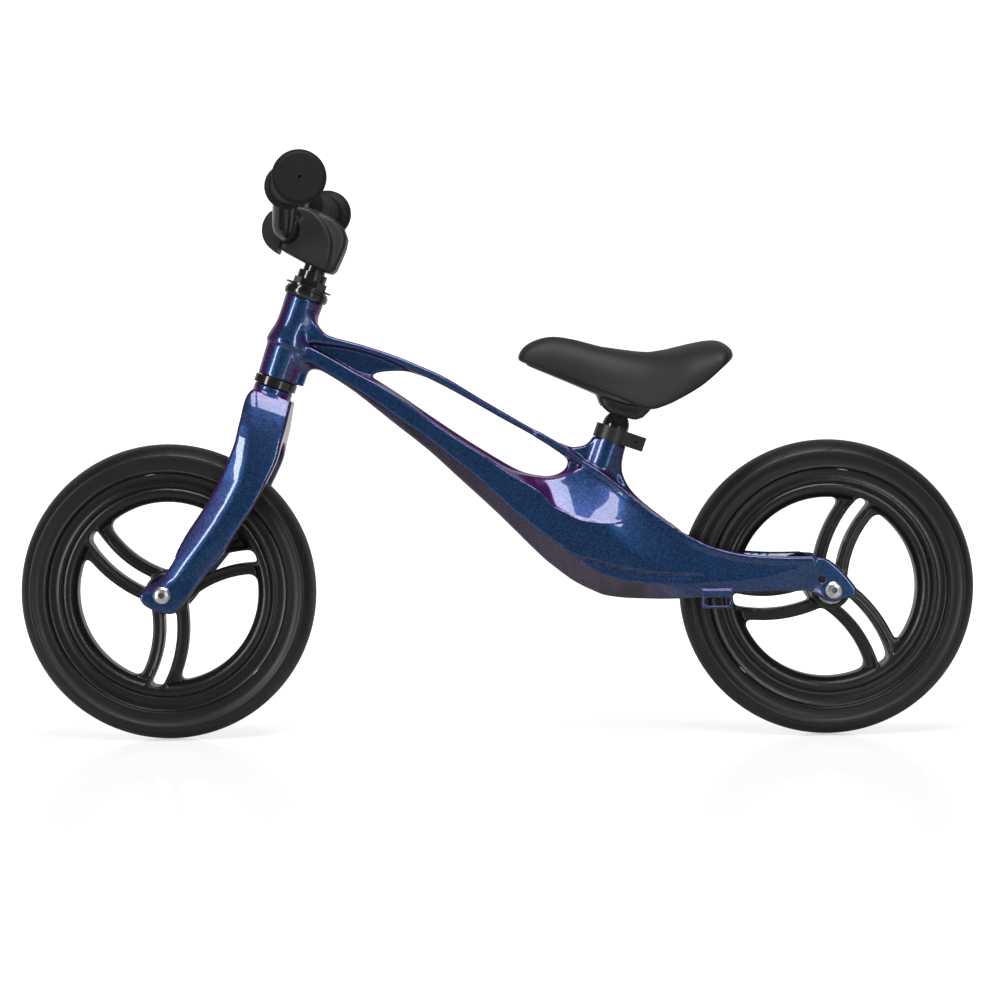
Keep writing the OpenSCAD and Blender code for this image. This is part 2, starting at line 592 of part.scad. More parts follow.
// ---------- seat ----------
module seat_clamp() color(black) at_seat() difference() {
    union() {
        ring(seat_tube_d / 2, 17.6, 0, clamp_h);
        translate([0, -15, 0]) cube([30.5, 4, clamp_h]);
        translate([14.5, -15, 0]) cube([16, 5.6, clamp_h]);
        translate([14.5, 0.9, 0]) cube([12, 5.4, clamp_h]);
        translate([14.5, -9.4, 0]) cube([3, 8.5, clamp_h]);
    }
    cylinder(d = seat_tube_d, h = 3 * clamp_h, center = true);
    translate([22.2, 0, clamp_h / 2]) rod_y(2.6, -30, 30);
}
module clamp_bolt() color(black) at_seat() translate([22.2, 0, clamp_h / 2]) difference() {
    union() { rod_y(2.6, -15, 9.6); rod_y(4, -16.2, -15); }
    translate([0, -17, 0]) rotate([-90, 0, 0]) cylinder(r = 1.8, h = 3, $fn = 6);
}
module clamp_nut() color(steel) at_seat() translate([22.2, 6.3, clamp_h / 2])
    rotate([-90, 0, 0]) difference() {
        cylinder(r = 5, h = 4, $fn = 6);
        translate([0, 0, -1]) cylinder(r = 2.6, h = 6);
    }
module seatpost() color(black) at_seat() difference() {
    union() {
        translate([0, 0, -seat_travel - 50]) cylinder(d = seatpost_d, h = seat_travel + 66);
        intersection() {
            translate([0, 0, 16]) sphere(d = seatpost_d);
            translate([-20, -6.1, 10]) cube([40, 12.2, 30]);
        }
        translate([-7, -6, 20]) cube([14, 12, 12]);
    }
    translate([0, 0, -seat_travel - 51]) cylinder(d = seatpost_d - 3.6, h = seat_travel + 58);
    translate([0, 0, 24]) rod_y(3, -30, 30);
}
module saddle_bracket() color(black) at_seat() difference() {
    union() {
        both() translate([-8, 6.4, 17]) cube([16, 3.2, 22]);
        translate([-17, -14, 37]) cube([34, 28, 3]);
    }
    translate([0, 0, 24]) rod_y(3, -30, 30);
    for (x = [-13, 13]) translate([x, 0, 30]) cylinder(r = 2.1, h = 20);
}
module saddle_bolt() color(zinc) at_seat() translate([0, 0, 24]) difference() {
    union() { rod_y(3, -9.6, 15); rod_y(5.4, -13.6, -9.6); }
    translate([0, -15, 0]) rotate([-90, 0, 0]) cylinder(r = 2.4, h = 4, $fn = 6);
}
module saddle_nut() color(zinc) at_seat() translate([0, 9.6, 24])
    rotate([-90, 0, 0]) difference() {
        cylinder(r = 5.6, h = 5, $fn = 6);
        translate([0, 0, -1]) cylinder(r = 3, h = 7);
    }

pad_top = [[19.5, 355], [23, 364], [33, 372], [51, 376.8], [73, 374], [99, 367], [135, 362],
    [158, 363.5], [181, 369], [200, 372.2], [211, 370], [220, 362.5]];
pad_bottom = [[220, 355], [209, 345.5], [189, 328.5], [165, 314.5], [152, 309], [144, 307],
    [134, 308.7], [111, 318.5], [66, 337], [30, 350.5]];
pad_plan = [[18, 0], [19, 12], [23, 20], [32, saddle_nose_w / 2], [60, 27.5], [90, 32], [120, 42],
    [150, 57], [175, 66], [195, saddle_w / 2], [210, 65], [218, 52], [221, 30], [221.5, 0]];
pan_plan = [[27, 0], [28, 10], [34, 18], [60, 22], [90, 26.5], [120, 36], [150, 50], [175, 58],
    [195, 58], [206, 44], [209, 0]];
module flat_plan(p) linear_extrude(500) polygon(concat(curve(p, 3), mirrored(curve(p, 3))));
// the shell's side section, thin and following the pad's underside
pan_top = [[24, 353.5], [66, 341], [111, 324], [134, 322], [165, 324], [189, 334], [212, 351]];
module saddle_pan() color(black) difference() {
    union() {
        intersection() {
            side(concat(curve(pan_top, 3), [[207, 345.2], [188, 329.8], [165, 316.8],
                [144, 310], [134, 311], [111, 315.5], [66, 334], [30, 349]]), 120);
            flat_plan(pan_plan);
        }
        // boss the bracket sits in
        intersection() {
            side([[91, 326], [99, 310], [105, 303.5], [131, 296.5], [144, 306], [150, 318],
                [111, 321]], 44);
            flat_plan([[90, 14], [100, 19], [120, 21], [146, 20], [150, 16]]);
        }
    }
    at_seat() {
        translate([-18, -16.5, 18]) cube([36, 33, 22]);
        for (x = [-13, 13]) translate([x, 0, 36]) cylinder(r = 2, h = 9);
    }
}
module pan_screw(x) color(zinc) at_seat() translate([x, 0, 37]) difference() {
    union() {
        translate([0, 0, -2.4]) cylinder(r = 3.8, h = 2.4);
        translate([0, 0, -1]) cylinder(r = 2, h = 9);
    }
    translate([-3, -0.5, -3]) cube([6, 1, 1.6]);
}
module pan_screw_front() pan_screw(-13);
module pan_screw_rear() pan_screw(13);
module saddle_pad() color(rubber) difference() {
    intersection() {
        side(concat(curve(pad_top, 3), curve(pad_bottom, 3)), 200);
        flat_plan(pad_plan);
    }
    // recess for the shell
    intersection() {
        side(concat(curve(pan_top, 3), [[213, 330], [190, 300], [60, 300], [22, 340]]), 120);
        flat_plan(pan_plan);
    }
}

frame();
stay_left();
stay_right();
upper_cup();
lower_cup();
upper_bearing();
lower_bearing();
fork();
steerer_tube();
crown_race();
stop_ring();
top_race();
lock_washer();
locknut();
front_wheel();
front_tyre();
front_bearing_left();
front_bearing_right();
front_hub_sleeve();
front_axle();
front_spacer_left();
front_spacer_right();
front_bolt_left();
front_bolt_right();
rear_wheel();
rear_tyre();
rear_bearing_left();
rear_bearing_right();
rear_hub_sleeve();
rear_axle();
rear_spacer_left();
rear_spacer_right();
rear_bolt_left();
rear_bolt_right();
quill();
quill_wedge();
quill_bolt();
stem();
stem_cap();
stem_screw_left();
stem_screw_right();
stem_cover();
handlebar();
grip_left();
grip_right();
seat_clamp();
clamp_bolt();
clamp_nut();
seatpost();
saddle_bracket();
saddle_bolt();
saddle_nut();
saddle_pan();
pan_screw_front();
pan_screw_rear();
saddle_pad();
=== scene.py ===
import math

import bpy
import numpy as np
from mathutils import Matrix, Vector


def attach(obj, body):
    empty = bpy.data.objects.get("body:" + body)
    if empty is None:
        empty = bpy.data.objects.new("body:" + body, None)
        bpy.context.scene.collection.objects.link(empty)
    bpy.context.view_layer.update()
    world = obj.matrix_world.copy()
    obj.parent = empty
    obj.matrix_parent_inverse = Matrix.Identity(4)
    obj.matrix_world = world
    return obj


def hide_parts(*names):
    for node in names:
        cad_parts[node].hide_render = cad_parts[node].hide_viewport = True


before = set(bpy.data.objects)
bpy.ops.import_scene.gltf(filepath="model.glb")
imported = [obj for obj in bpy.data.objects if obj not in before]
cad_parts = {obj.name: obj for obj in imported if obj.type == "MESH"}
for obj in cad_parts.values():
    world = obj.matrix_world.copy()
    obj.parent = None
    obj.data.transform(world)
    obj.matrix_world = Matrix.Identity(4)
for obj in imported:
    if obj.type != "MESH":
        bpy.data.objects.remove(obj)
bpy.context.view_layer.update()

MM = 0.001

# ---------- places taken from the CAD model ----------
HEAD = np.array([-208.8, 331.0])
HEAD_TILT = math.radians(19.6)
SEAT = np.array([107.1, 277.5])
SEAT_TILT = math.radians(19.2)
AXLE_X, AXLE_Z = 310.0, 139.0
DROP_IN, DROP_OUT = 44.0, 53.0
HEAD_TOP = 87.8
SEAT_R, SEAT_TOP = 14.3, 12.2
AXLE_HOLE = 4.2


# ---------- node trees ----------
def add(tree, kind, ins=None, **props):
    node = tree.nodes.new("ShaderNode" + kind)
    for key, value in props.items():
        setattr(node, key, value)
    for key, value in (ins or {}).items():
        socket = node.inputs[key]
        if isinstance(value, bpy.types.NodeSocket):
            tree.links.new(value, socket)
        else:
            socket.default_value = value
    return node


def mix(tree, factor, a, b, blend="MIX"):
    """Colour mix of a and b."""
    return add(tree, "Mix", {0: factor, 6: a, 7: b}, data_type="RGBA", blend_type=blend).outputs[2]


def calc(tree, operation, a, b=0.0, c=0.0):
    return add(tree, "Math", {0: a, 1: b, 2: c}, operation=operation).outputs[0]


def span(tree, value, lo, hi, to_lo=0.0, to_hi=1.0, smooth=False):
    """Value from lo to hi carried over to to_lo to to_hi."""
    kind = "SMOOTHSTEP" if smooth else "LINEAR"
    return add(tree, "MapRange", {0: value, 1: lo, 2: hi, 3: to_lo, 4: to_hi},
               interpolation_type=kind).outputs[0]


def noise(tree, where, scale, detail=3.0, rough=0.55):
    return add(tree, "TexNoise", {"Vector": where, "Scale": scale, "Detail": detail,
                                  "Roughness": rough}).outputs[0]


def bump(tree, height, depth, strength=1.0, base=None):
    ins = {"Height": height, "Distance": depth, "Strength": strength}
    if base is not None:
        ins["Normal"] = base
    return add(tree, "Bump", ins).outputs[0]


def start(name):
    """New material, its empty tree, and the object coordinates and normal."""
    material = bpy.data.materials.new(name)
    material.use_nodes = True
    tree = material.node_tree
    tree.nodes.clear()
    coords = add(tree, "TexCoord")
    return material, tree, coords.outputs["Object"], coords.outputs["Normal"]


def close(tree, **ins):
    """Principled shader with these inputs, named with _ for a space."""
    shader = add(tree, "BsdfPrincipled", {key.replace("_", " "): v for key, v in ins.items()})
    out = add(tree, "OutputMaterial")
    tree.links.new(shader.outputs[0], out.inputs[0])


# ---------- materials ----------
def paint_material():
    """Metallic flip paint: blue on the side faces, violet where a face turns up, down or fore; painted
    shade darkens the violet on faces turned down and takes it nearly to black underneath.
    """
    m, t, where, normal = start("flip_paint")
    facing = add(t, "SeparateXYZ", {0: normal})
    side = calc(t, "ABSOLUTE", facing.outputs[1])
    cloud = noise(t, where, 28.0, 2.0)
    side = calc(t, "MULTIPLY_ADD", calc(t, "SUBTRACT", cloud, 0.5), 0.10, side)
    to_blue = span(t, side, 0.56, 0.90, smooth=True)
    # painted shade: the violet turns a darker, greyer mauve on faces turned down
    down = span(t, facing.outputs[2], -0.15, -0.55, smooth=True)
    violet = mix(t, down, (0.120, 0.018, 0.190, 1), (0.060, 0.034, 0.080, 1))
    # painted shade: faces turned almost straight down go nearly black
    under = span(t, facing.outputs[2], -0.745, -0.80, smooth=True)
    violet = mix(t, under, violet, (0.022, 0.018, 0.036, 1))
    blue = mix(t, span(t, side, 0.8, 1.0), (0.022, 0.030, 0.120, 1), (0.010, 0.050, 0.150, 1))
    colour = mix(t, to_blue, violet, blue)
    flakes = add(t, "TexVoronoi", {"Vector": where, "Scale": 1050.0})
    tone = add(t, "SeparateColor", {0: flakes.outputs["Color"]})
    light = span(t, tone.outputs[0], 0.0, 1.0, 0.45, 1.65)
    grain = add(t, "CombineColor", {0: light, 1: light, 2: light}).outputs[0]
    colour = mix(t, 1.0, colour, grain, "MULTIPLY")
    sparkle = span(t, tone.outputs[1], 0.93, 1.0, 0.0, 0.22)
    colour = mix(t, sparkle, colour, (0.20, 0.26, 0.42, 1))
    rough = span(t, tone.outputs[2], 0.0, 1.0, 0.30, 0.44)
    flake_tilt = bump(t, tone.outputs[0], 0.00002, 0.35)
    peel = bump(t, noise(t, where, 240.0, 1.0), 0.000012, 0.25)
    close(t, Base_Color=colour, Metallic=0.82, Roughness=rough, Normal=flake_tilt,
          Coat_Weight=1.0, Coat_Roughness=0.035, Coat_IOR=1.5, Coat_Normal=peel)
    return m


def black_material(name, tone, rough, grain_scale, grain_depth, coat=0.0, spec=0.5, wear=0.35):
    """Black finish: moulded grain, slight tone clouds and rubbed, shinier patches."""
    m, t, where, _ = start(name)
    clouds = noise(t, where, 22.0, 4.0)
    fine = noise(t, where, grain_scale, 4.0, 0.6)
    dust = span(t, noise(t, where, 9.0, 5.0, 0.65), 0.45, 0.75, 0.0, wear)
    base = mix(t, clouds, tuple(0.75 * c for c in tone) + (1,), tuple(1.3 * c for c in tone) + (1,))
    base = mix(t, calc(t, "MULTIPLY", dust, 0.12), base, (0.09, 0.088, 0.085, 1))
    r = calc(t, "ADD", span(t, fine, 0.3, 0.7, rough - 0.05, rough + 0.06),
             calc(t, "MULTIPLY", dust, 0.10))
    close(t, Base_Color=base, Roughness=r, Specular_IOR_Level=spec,
          Normal=bump(t, fine, grain_depth, 0.6), Coat_Weight=coat, Coat_Roughness=0.08)
    return m


def metal_material(name, colour, rough, scratch=0.25, brush=(40.0, 900.0, 40.0)):
    """Brushed metal, darker in its hollows by painted shade."""
    m, t, where, _ = start(name)
    stretched = add(t, "Mapping", {"Vector": where, "Scale": brush}).outputs[0]
    lines = noise(t, stretched, 1.0, 5.0, 0.7)
    spots = noise(t, where, 160.0, 5.0, 0.6)
    base = mix(t, span(t, spots, 0.35, 0.75), colour + (1,), tuple(0.62 * c for c in colour) + (1,))
    # painted shade: base colour darkened where ambient occlusion finds a hollow
    hollow_shade = add(t, "AmbientOcclusion", {"Distance": 0.004}, samples=6).outputs["AO"]
    base = mix(t, span(t, hollow_shade, 0.35, 0.9), tuple(0.12 * c for c in colour) + (1,), base)
    r = calc(t, "MULTIPLY_ADD", lines, scratch, rough)
    close(t, Base_Color=base, Metallic=1.0, Roughness=r, Normal=bump(t, lines, 0.00002, 0.4))
    return m


def tread_cuts(t, where):
    """Thin slanting cuts round each shoulder of a tyre, 1 in the cut, 0 beside it."""
    at = add(t, "SeparateXYZ", {0: where})
    u = calc(t, "SUBTRACT", calc(t, "ABSOLUTE", at.outputs[0]), AXLE_X * MM)
    w = calc(t, "SUBTRACT", at.outputs[2], AXLE_Z * MM)
    radius = calc(t, "SQRT", calc(t, "ADD", calc(t, "MULTIPLY", u, u),
                                  calc(t, "MULTIPLY", w, w)))
    turn = calc(t, "MULTIPLY", calc(t, "ARCTAN2", w, u), 18 / (2 * math.pi))
    total = None
    for lean, shift, lo, hi in ((62.0, 0.0, 0.1285, 0.1375), (-26.0, 0.42, 0.1325, 0.1388)):
        line = calc(t, "MULTIPLY_ADD", radius, lean, calc(t, "ADD", turn, shift))
        off = calc(t, "ABSOLUTE", calc(t, "SUBTRACT", calc(t, "FRACT", line), 0.5))
        core = span(t, off, 0.012, 0.024, 1.0, 0.0)
        core = calc(t, "MULTIPLY", core, span(t, radius, lo, lo + 0.0015))
        core = calc(t, "MULTIPLY", core, span(t, radius, hi, hi - 0.0010))
        total = core if total is None else calc(t, "MAXIMUM", total, core)
    return total


def tyre_material():
    """Foam rubber: dull black with fine pores, a dusty bloom on the tread, and painted shade in its
    cuts.
    """
    m, t, where, _ = start("foam_rubber")
    pores = add(t, "TexVoronoi", {"Vector": where, "Scale": 900.0}).outputs["Distance"]
    fine = noise(t, where, 700.0, 4.0, 0.6)
    clouds = noise(t, where, 16.0, 5.0, 0.6)
    base = mix(t, clouds, (0.003, 0.003, 0.0032, 1), (0.006, 0.006, 0.0063, 1))
    base = mix(t, span(t, fine, 0.5, 0.8, 0.0, 0.3), base, (0.024, 0.024, 0.025, 1))
    r = span(t, clouds, 0.3, 0.7, 0.38, 0.50)
    cut = tread_cuts(t, where)
    # painted shade: the tread cuts are coloured darker than the surface round them
    base = mix(t, cut, base, (0.002, 0.002, 0.002, 1))
    rough = bump(t, fine, 0.00012, 0.35)
    pitted = bump(t, pores, 0.00006, 0.35, rough)
    sunk = bump(t, calc(t, "SUBTRACT", 1.0, cut), 0.0010, 0.9, pitted)
    close(t, Base_Color=base, Roughness=r, Normal=sunk, Specular_IOR_Level=0.45)
    return m


def saddle_material():
    """Soft moulded cover: black grained skin with a low sheen and painted shade in the grain's
    creases.
    """
    m, t, where, _ = start("saddle_skin")
    cells = add(t, "TexVoronoi", {"Vector": where, "Scale": 620.0}, feature="DISTANCE_TO_EDGE")
    crease = span(t, cells.outputs["Distance"], 0.0, 0.12)
    fine = noise(t, where, 1300.0, 3.0)
    clouds = noise(t, where, 14.0, 4.0)
    base = mix(t, clouds, (0.008, 0.008, 0.0084, 1), (0.0155, 0.0155, 0.016, 1))
    # painted shade: the sunk creases of the grain are coloured darker
    base = mix(t, crease, (0.006, 0.006, 0.0065, 1), base)
    r = calc(t, "ADD", span(t, clouds, 0.3, 0.7, 0.44, 0.54), calc(t, "MULTIPLY", fine, 0.08))
    skin = bump(t, crease, 0.00010, 0.45)
    close(t, Base_Color=base, Roughness=r, Normal=bump(t, fine, 0.00004, 0.3, skin),
          Sheen_Weight=0.05, Sheen_Roughness=0.4, Specular_IOR_Level=0.36)
    return m


def floor_material():
    """Pale floor, made to look white by a painted glow for camera rays, but it lights the bike and its
    own mirror image less.
    """
    m, t, where, _ = start("studio_floor")
    clouds = noise(t, where, 3.0, 3.0)
    path = add(t, "LightPath")
    base = mix(t, clouds, (0.90, 0.90, 0.90, 1), (0.93, 0.93, 0.93, 1))
    # painted shade: glossy rays see a darker copy of the floor's colour
    base = mix(t, path.outputs["Is Glossy Ray"], base, (0.42, 0.42, 0.43, 1))
    back = add(t, "SeparateXYZ", {0: where}).outputs[1]
    # painted light: the floor itself glows, more towards the back, and glows brighter still for camera
    # rays
    lit = span(t, back, 0.2, 2.4, 0.07, 0.38, smooth=True)
    shown = span(t, back, -0.6, 1.2, 0.40, 0.90, smooth=True)
    glow = calc(t, "MULTIPLY_ADD", path.outputs["Is Camera Ray"], calc(t, "SUBTRACT", shown, lit), lit)
    close(t, Base_Color=base, Roughness=span(t, clouds, 0.3, 0.7, 0.10, 0.13),
          Emission_Color=(1.0, 1.0, 1.0, 1), Emission_Strength=glow)
    return m


# ---------- distance fields, in millimetres ----------
def curve(points, n=4):
    """Smooth open curve through the points, n steps to each span."""
    p = np.array(points, float)
    out = []
    for i in range(len(p) - 1):
        a, b, c, d = p[max(i - 1, 0)], p[i], p[i + 1], p[min(i + 2, len(p) - 1)]
        for k in range(n):
            s = k / n
            out.append(0.5 * (2 * b + (c - a) * s + (2 * a - 5 * b + 4 * c - d) * s * s
                              + (3 * b - a - 3 * c + d) * s ** 3))
    out.append(p[-1])
    return np.array(out)


def to_line(px, pz, line):
    """Distance to an open polyline."""
    best = np.full(px.shape, 1e9)
    for (ax, az), (bx, bz) in zip(line[:-1], line[1:]):
        ex, ez = bx - ax, bz - az
        s = np.clip(((px - ax) * ex + (pz - az) * ez) / max(ex * ex + ez * ez, 1e-9), 0, 1)
        best = np.minimum(best, (px - ax - s * ex) ** 2 + (pz - az - s * ez) ** 2)
    return np.sqrt(best)


def to_shape(px, pz, points):
    """Signed distance to a polygon, negative inside."""
    p = np.asarray(points, float)
    inside = np.zeros(px.shape, bool)
    for (ax, az), (bx, bz) in zip(p, np.roll(p, -1, 0)):
        if az != bz:
            crosses = (az > pz) != (bz > pz)
            inside ^= crosses & (px < ax + (pz - az) / (bz - az) * (bx - ax))
    d = to_line(px, pz, np.vstack([p, p[:1]]))
    return np.where(inside, -d, d)


def join(a, b, k):
    """Union with a fillet about k wide."""
    h = np.clip(0.5 + 0.5 * (b - a) / k, 0, 1)
    return b + (a - b) * h - k * h * (1 - h)


def meet(a, b, k):
    """Intersection with a rounded edge about k wide."""
    return -join(-a, -b, k)


def ramp(v, lo, hi):
    s = np.clip((v - lo) / (hi - lo), 0, 1)
    return s * s * (3 - 2 * s)


def along(v, pairs):
    """Height of a listed profile at v."""
    return np.interp(v, [p[0] for p in pairs], [p[1] for p in pairs])


def section(a, b, a_range, b_range, points, step=0.5):
    """Distance to a section polygon at (a, b), read from a fine table."""
    ta, tb = np.meshgrid(np.arange(*a_range, step), np.arange(*b_range, step), indexing="ij")
    table = to_shape(ta, tb, points)
    fa = np.clip((a - a_range[0]) / step, 0, ta.shape[0] - 1.001)
    fb = np.clip((b - b_range[0]) / step, 0, ta.shape[1] - 1.001)
    i, j = fa.astype(int), fb.astype(int)
    s, w = fa - i, fb - j
    return ((1 - s) * (1 - w) * table[i, j] + s * (1 - w) * table[i + 1, j]
            + (1 - s) * w * table[i, j + 1] + s * w * table[i + 1, j + 1])


class Grid:
    """Regular grid over half the body, mirrored about the middle plane at the end."""

    def __init__(self, x, y, z, step):
        self.step = step
        self.x = np.arange(x[0], x[1] + step, step)
        self.y = np.arange(0, y + step, step)
        self.z = np.arange(z[0], z[1] + step, step)
        self.X, self.Z = np.meshgrid(self.x, self.z, indexing="ij")
        self.Y3 = self.y[None, :, None]

    def flat(self, field):
        return field[:, None, :]

    def tilted(self, origin, tilt):
        """Across and along coordinates of an axis leaning back by tilt."""
        dx, dz = self.X - origin[0], self.Z - origin[1]
        across = dx * math.cos(tilt) - dz * math.sin(tilt)
        up = dx * math.sin(tilt) + dz * math.cos(tilt)
        return self.flat(across), self.flat(up)

    def rod(self, x, z):
        """Distance from an axis along Y."""
        return self.flat(np.hypot(self.X - x, self.Z - z))


def surface(field, grid):
    """Quads of the zero surface, one vertex to a cell that it crosses, then evened and reseated."""
    f = np.concatenate([field[:, :0:-1], field], axis=1).astype(np.float32)
    y0 = -grid.y[-1]
    n = np.array(f.shape) - 1
    inside = f < 0
    count = np.zeros(n, np.int8)
    corners = [(i, j, k) for i in (0, 1) for j in (0, 1) for k in (0, 1)]
    for i, j, k in corners:
        count += inside[i:i + n[0], j:j + n[1], k:k + n[2]]
    cells = np.argwhere((count > 0) & (count < 8))
    total = np.zeros((len(cells), 3))
    hits = np.zeros(len(cells))
    for a in corners:
        for axis in range(3):
            if a[axis]:
                continue
            b = list(a)
            b[axis] = 1
            pa, pb = cells + a, cells + b
            fa, fb = f[tuple(pa.T)], f[tuple(pb.T)]
            cross = (fa < 0) != (fb < 0)
            s = np.where(cross, fa / np.where(cross, fa - fb, 1), 0)
            at = np.array(a, float) + s[:, None] * (np.array(b) - np.array(a))
            total += np.where(cross[:, None], at, 0)
            hits += cross
    points = cells + total / hits[:, None]
    index = np.full(n, -1, np.int64)
    index[tuple(cells.T)] = np.arange(len(cells))
    quads = []
    for axis in range(3):
        u, v = (axis + 1) % 3, (axis + 2) % 3
        a = [slice(1, -1)] * 3
        b = [slice(1, -1)] * 3
        a[axis], b[axis] = slice(0, -1), slice(1, None)
        change = inside[tuple(a)] != inside[tuple(b)]
        at = np.argwhere(change)
        at[:, [u, v]] += 1
        out = inside[tuple(at.T)]
        step_u, step_v = np.zeros(3, int), np.zeros(3, int)
        step_u[u], step_v[v] = 1, 1
        ring = [at - step_u - step_v, at - step_v, at, at - step_u]
        ids = np.stack([index[tuple(r.T)] for r in ring], 1)
        ids[~out] = ids[~out][:, ::-1]
        quads.append(ids)
    quads = np.vstack(quads)
    quads = quads[(quads >= 0).all(1)]
    points = even(points, quads, f)
    return points * grid.step + [grid.x[0], y0, grid.z[0]], quads


def sample(f, p):
    """Field and gradient at grid positions p."""
    top = np.array(f.shape) - 2
    i = np.clip(np.floor(p).astype(int), 0, top)
    r = p - i
    value = np.zeros(len(p))
    slope = np.zeros((len(p), 3))
    for a in (0, 1):
        for b in (0, 1):
            for c in (0, 1):
                w = [r[:, 0] if a else 1 - r[:, 0], r[:, 1] if b else 1 - r[:, 1],
                     r[:, 2] if c else 1 - r[:, 2]]
                g = f[i[:, 0] + a, i[:, 1] + b, i[:, 2] + c]
                value += w[0] * w[1] * w[2] * g
                slope[:, 0] += (1 if a else -1) * w[1] * w[2] * g
                slope[:, 1] += (1 if b else -1) * w[0] * w[2] * g
                slope[:, 2] += (1 if c else -1) * w[0] * w[1] * g
    return value, slope


def even(points, quads, f, rounds=4):
    """Average each vertex with its neighbours and put it back on the surface."""
    edges = np.vstack([quads[:, [a, (a + 1) % 4]] for a in range(4)])
    n = len(points)
    degree = np.bincount(edges[:, 0], minlength=n) + np.bincount(edges[:, 1], minlength=n)
    for _ in range(rounds):
        mean = np.stack([np.bincount(edges[:, 0], points[edges[:, 1], c], n)
                         + np.bincount(edges[:, 1], points[edges[:, 0], c], n)
                         for c in range(3)], 1) / np.maximum(degree, 1)[:, None]
        points = 0.5 * points + 0.5 * mean
        value, slope = sample(f, points)
        size = np.maximum((slope ** 2).sum(1), 1e-3)
        move = -(value / size)[:, None] * slope
        points = points + np.clip(move, -0.5, 0.5)
    return points


def make_mesh(name, points, faces, material, body):
    """Mesh object from millimetre points and equal-sided faces."""
    mesh = bpy.data.meshes.new(name)
    faces = np.asarray(faces)
    mesh.vertices.add(len(points))
    mesh.vertices.foreach_set("co", (np.asarray(points) * MM).astype(np.float32).ravel())
    mesh.loops.add(faces.size)
    mesh.loops.foreach_set("vertex_index", faces.ravel().astype(np.int32))
    mesh.polygons.add(len(faces))
    side = faces.shape[1]
    mesh.polygons.foreach_set("loop_start", np.arange(0, faces.size, side, dtype=np.int32))
    mesh.update(calc_edges=True)
    mesh.validate()
    mesh.shade_smooth()
    mesh.materials.append(material)
    piece = bpy.data.objects.new(name, mesh)
    bpy.context.scene.collection.objects.link(piece)
    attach(piece, body)
    return piece


# ---------- cast frame ----------
TOP_TUBE = [(-178, 400), (-171, 396), (-166, 387.5), (-156, 378.5), (-126, 370), (-96, 360),
            (-72, 350), (-48, 339), (-12, 317), (27, 294), (58, 276.5), (72, 266.5), (78, 262)]
TOP_TUBE_UNDER = [(76, 258.5), (60, 266.5), (40, 280), (1, 302), (-38, 324.5),
                  (-68, 340), (-84, 347), (-110, 358.5), (-140, 367), (-176, 372)]
OPENING_RIM = [(-117, 340), (-96, 326), (-71, 309), (-52, 296), (-25, 278), (1, 262), (20, 251),
               (33, 246), (47, 244.5), (57, 247), (64, 252), (66.5, 259), (62, 266)]
WEB_EDGE = [(-117, 340), (-112, 343.5), (-99, 345), (-84, 344.5), (-68, 340)]
WEB_BACK = [(-60, 342), (-96, 355), (-140, 369), (-182, 378), (-170, 357), (-119, 334)]
WEB_HALF = 3.5
BEAM_TOP = [(-186, 372), (-174, 368), (-155, 358), (-131, 344), (-107, 331), (-84, 316),
            (-65, 301), (-39, 283), (-12, 266), (14, 251), (45, 244), (62, 246), (80, 254),
            (98, 246), (111, 236.5), (130, 221), (149, 207), (169, 194), (192, 182)]
BEAM_UNDER = [(193, 132), (171, 131), (132, 130), (105, 132), (92, 136), (72, 146), (53, 160),
              (39, 172), (7, 204), (-13, 223), (-39, 247), (-65, 271), (-100, 299), (-132, 325),
              (-156, 341), (-169, 347), (-186, 346)]
SEAT_BACK = [(122, 282), (119, 272), (117, 258), (119, 245), (126, 232), (139, 219), (159, 203),
             (177, 189), (192, 182)]
NECK_FOOT = [(160, 180), (60, 200), (-60, 290), (-129, 341)]
FIN = [(61, 276), (66, 274), (73, 272.5), (84, 275), (92, 283), (96, 290), (118, 284)]
STAY_UPPER = [(163, 199), (177, 188), (192, 181.5), (213, 175), (234, 171), (262, 169),
              (290, 169), (302, 168.5), (309, 165), (321, 154), (331, 141), (332, 136)]
STAY_LOWER = [(330, 132.5), (320, 130.5), (311, 128), (303, 129.5), (297, 133), (283, 136),
              (262, 137.5), (225, 136.8), (205, 135), (193, 132.5), (163, 131.5)]
# half widths along X
BEAM_HALF = [(-190, 15), (-160, 16), (-120, 17.5), (-60, 20.5), (0, 26), (40, 32), (80, 38.5),
             (120, 42.5), (160, 45.5), (200, 48.5)]
TOP_HALF = [(-190, 14), (-150, 13.5), (-110, 12), (-60, 11), (0, 10.5), (50, 12), (80, 14),
            (125, 14.3)]
NECK_HALF = [(-130, 7), (-60, 7.5), (0, 8), (40, 8), (80, 7), (140, 8), (195, 26)]
RIB_HALF = [(20, 11), (40, 12.5), (80, 16), (111, 24), (149, 36), (192, 46.5), (240, 50.4),
            (290, 53)]
DISH_TOP_HALF = [(-12, 24), (1, 20), (20, 15), (47, 12), (64, 11.5), (80, 15), (111, 23),
                 (149, 36)]
STAY_OUT = [(160, 45.6), (200, 48.4), (260, 51.5), (300, DROP_OUT), (345, DROP_OUT)]
STAY_IN = [(184.9, -60), (185, 28.5), (190, 31), (225, 35), (262, 41), (286, DROP_IN),
           (345, DROP_IN)]
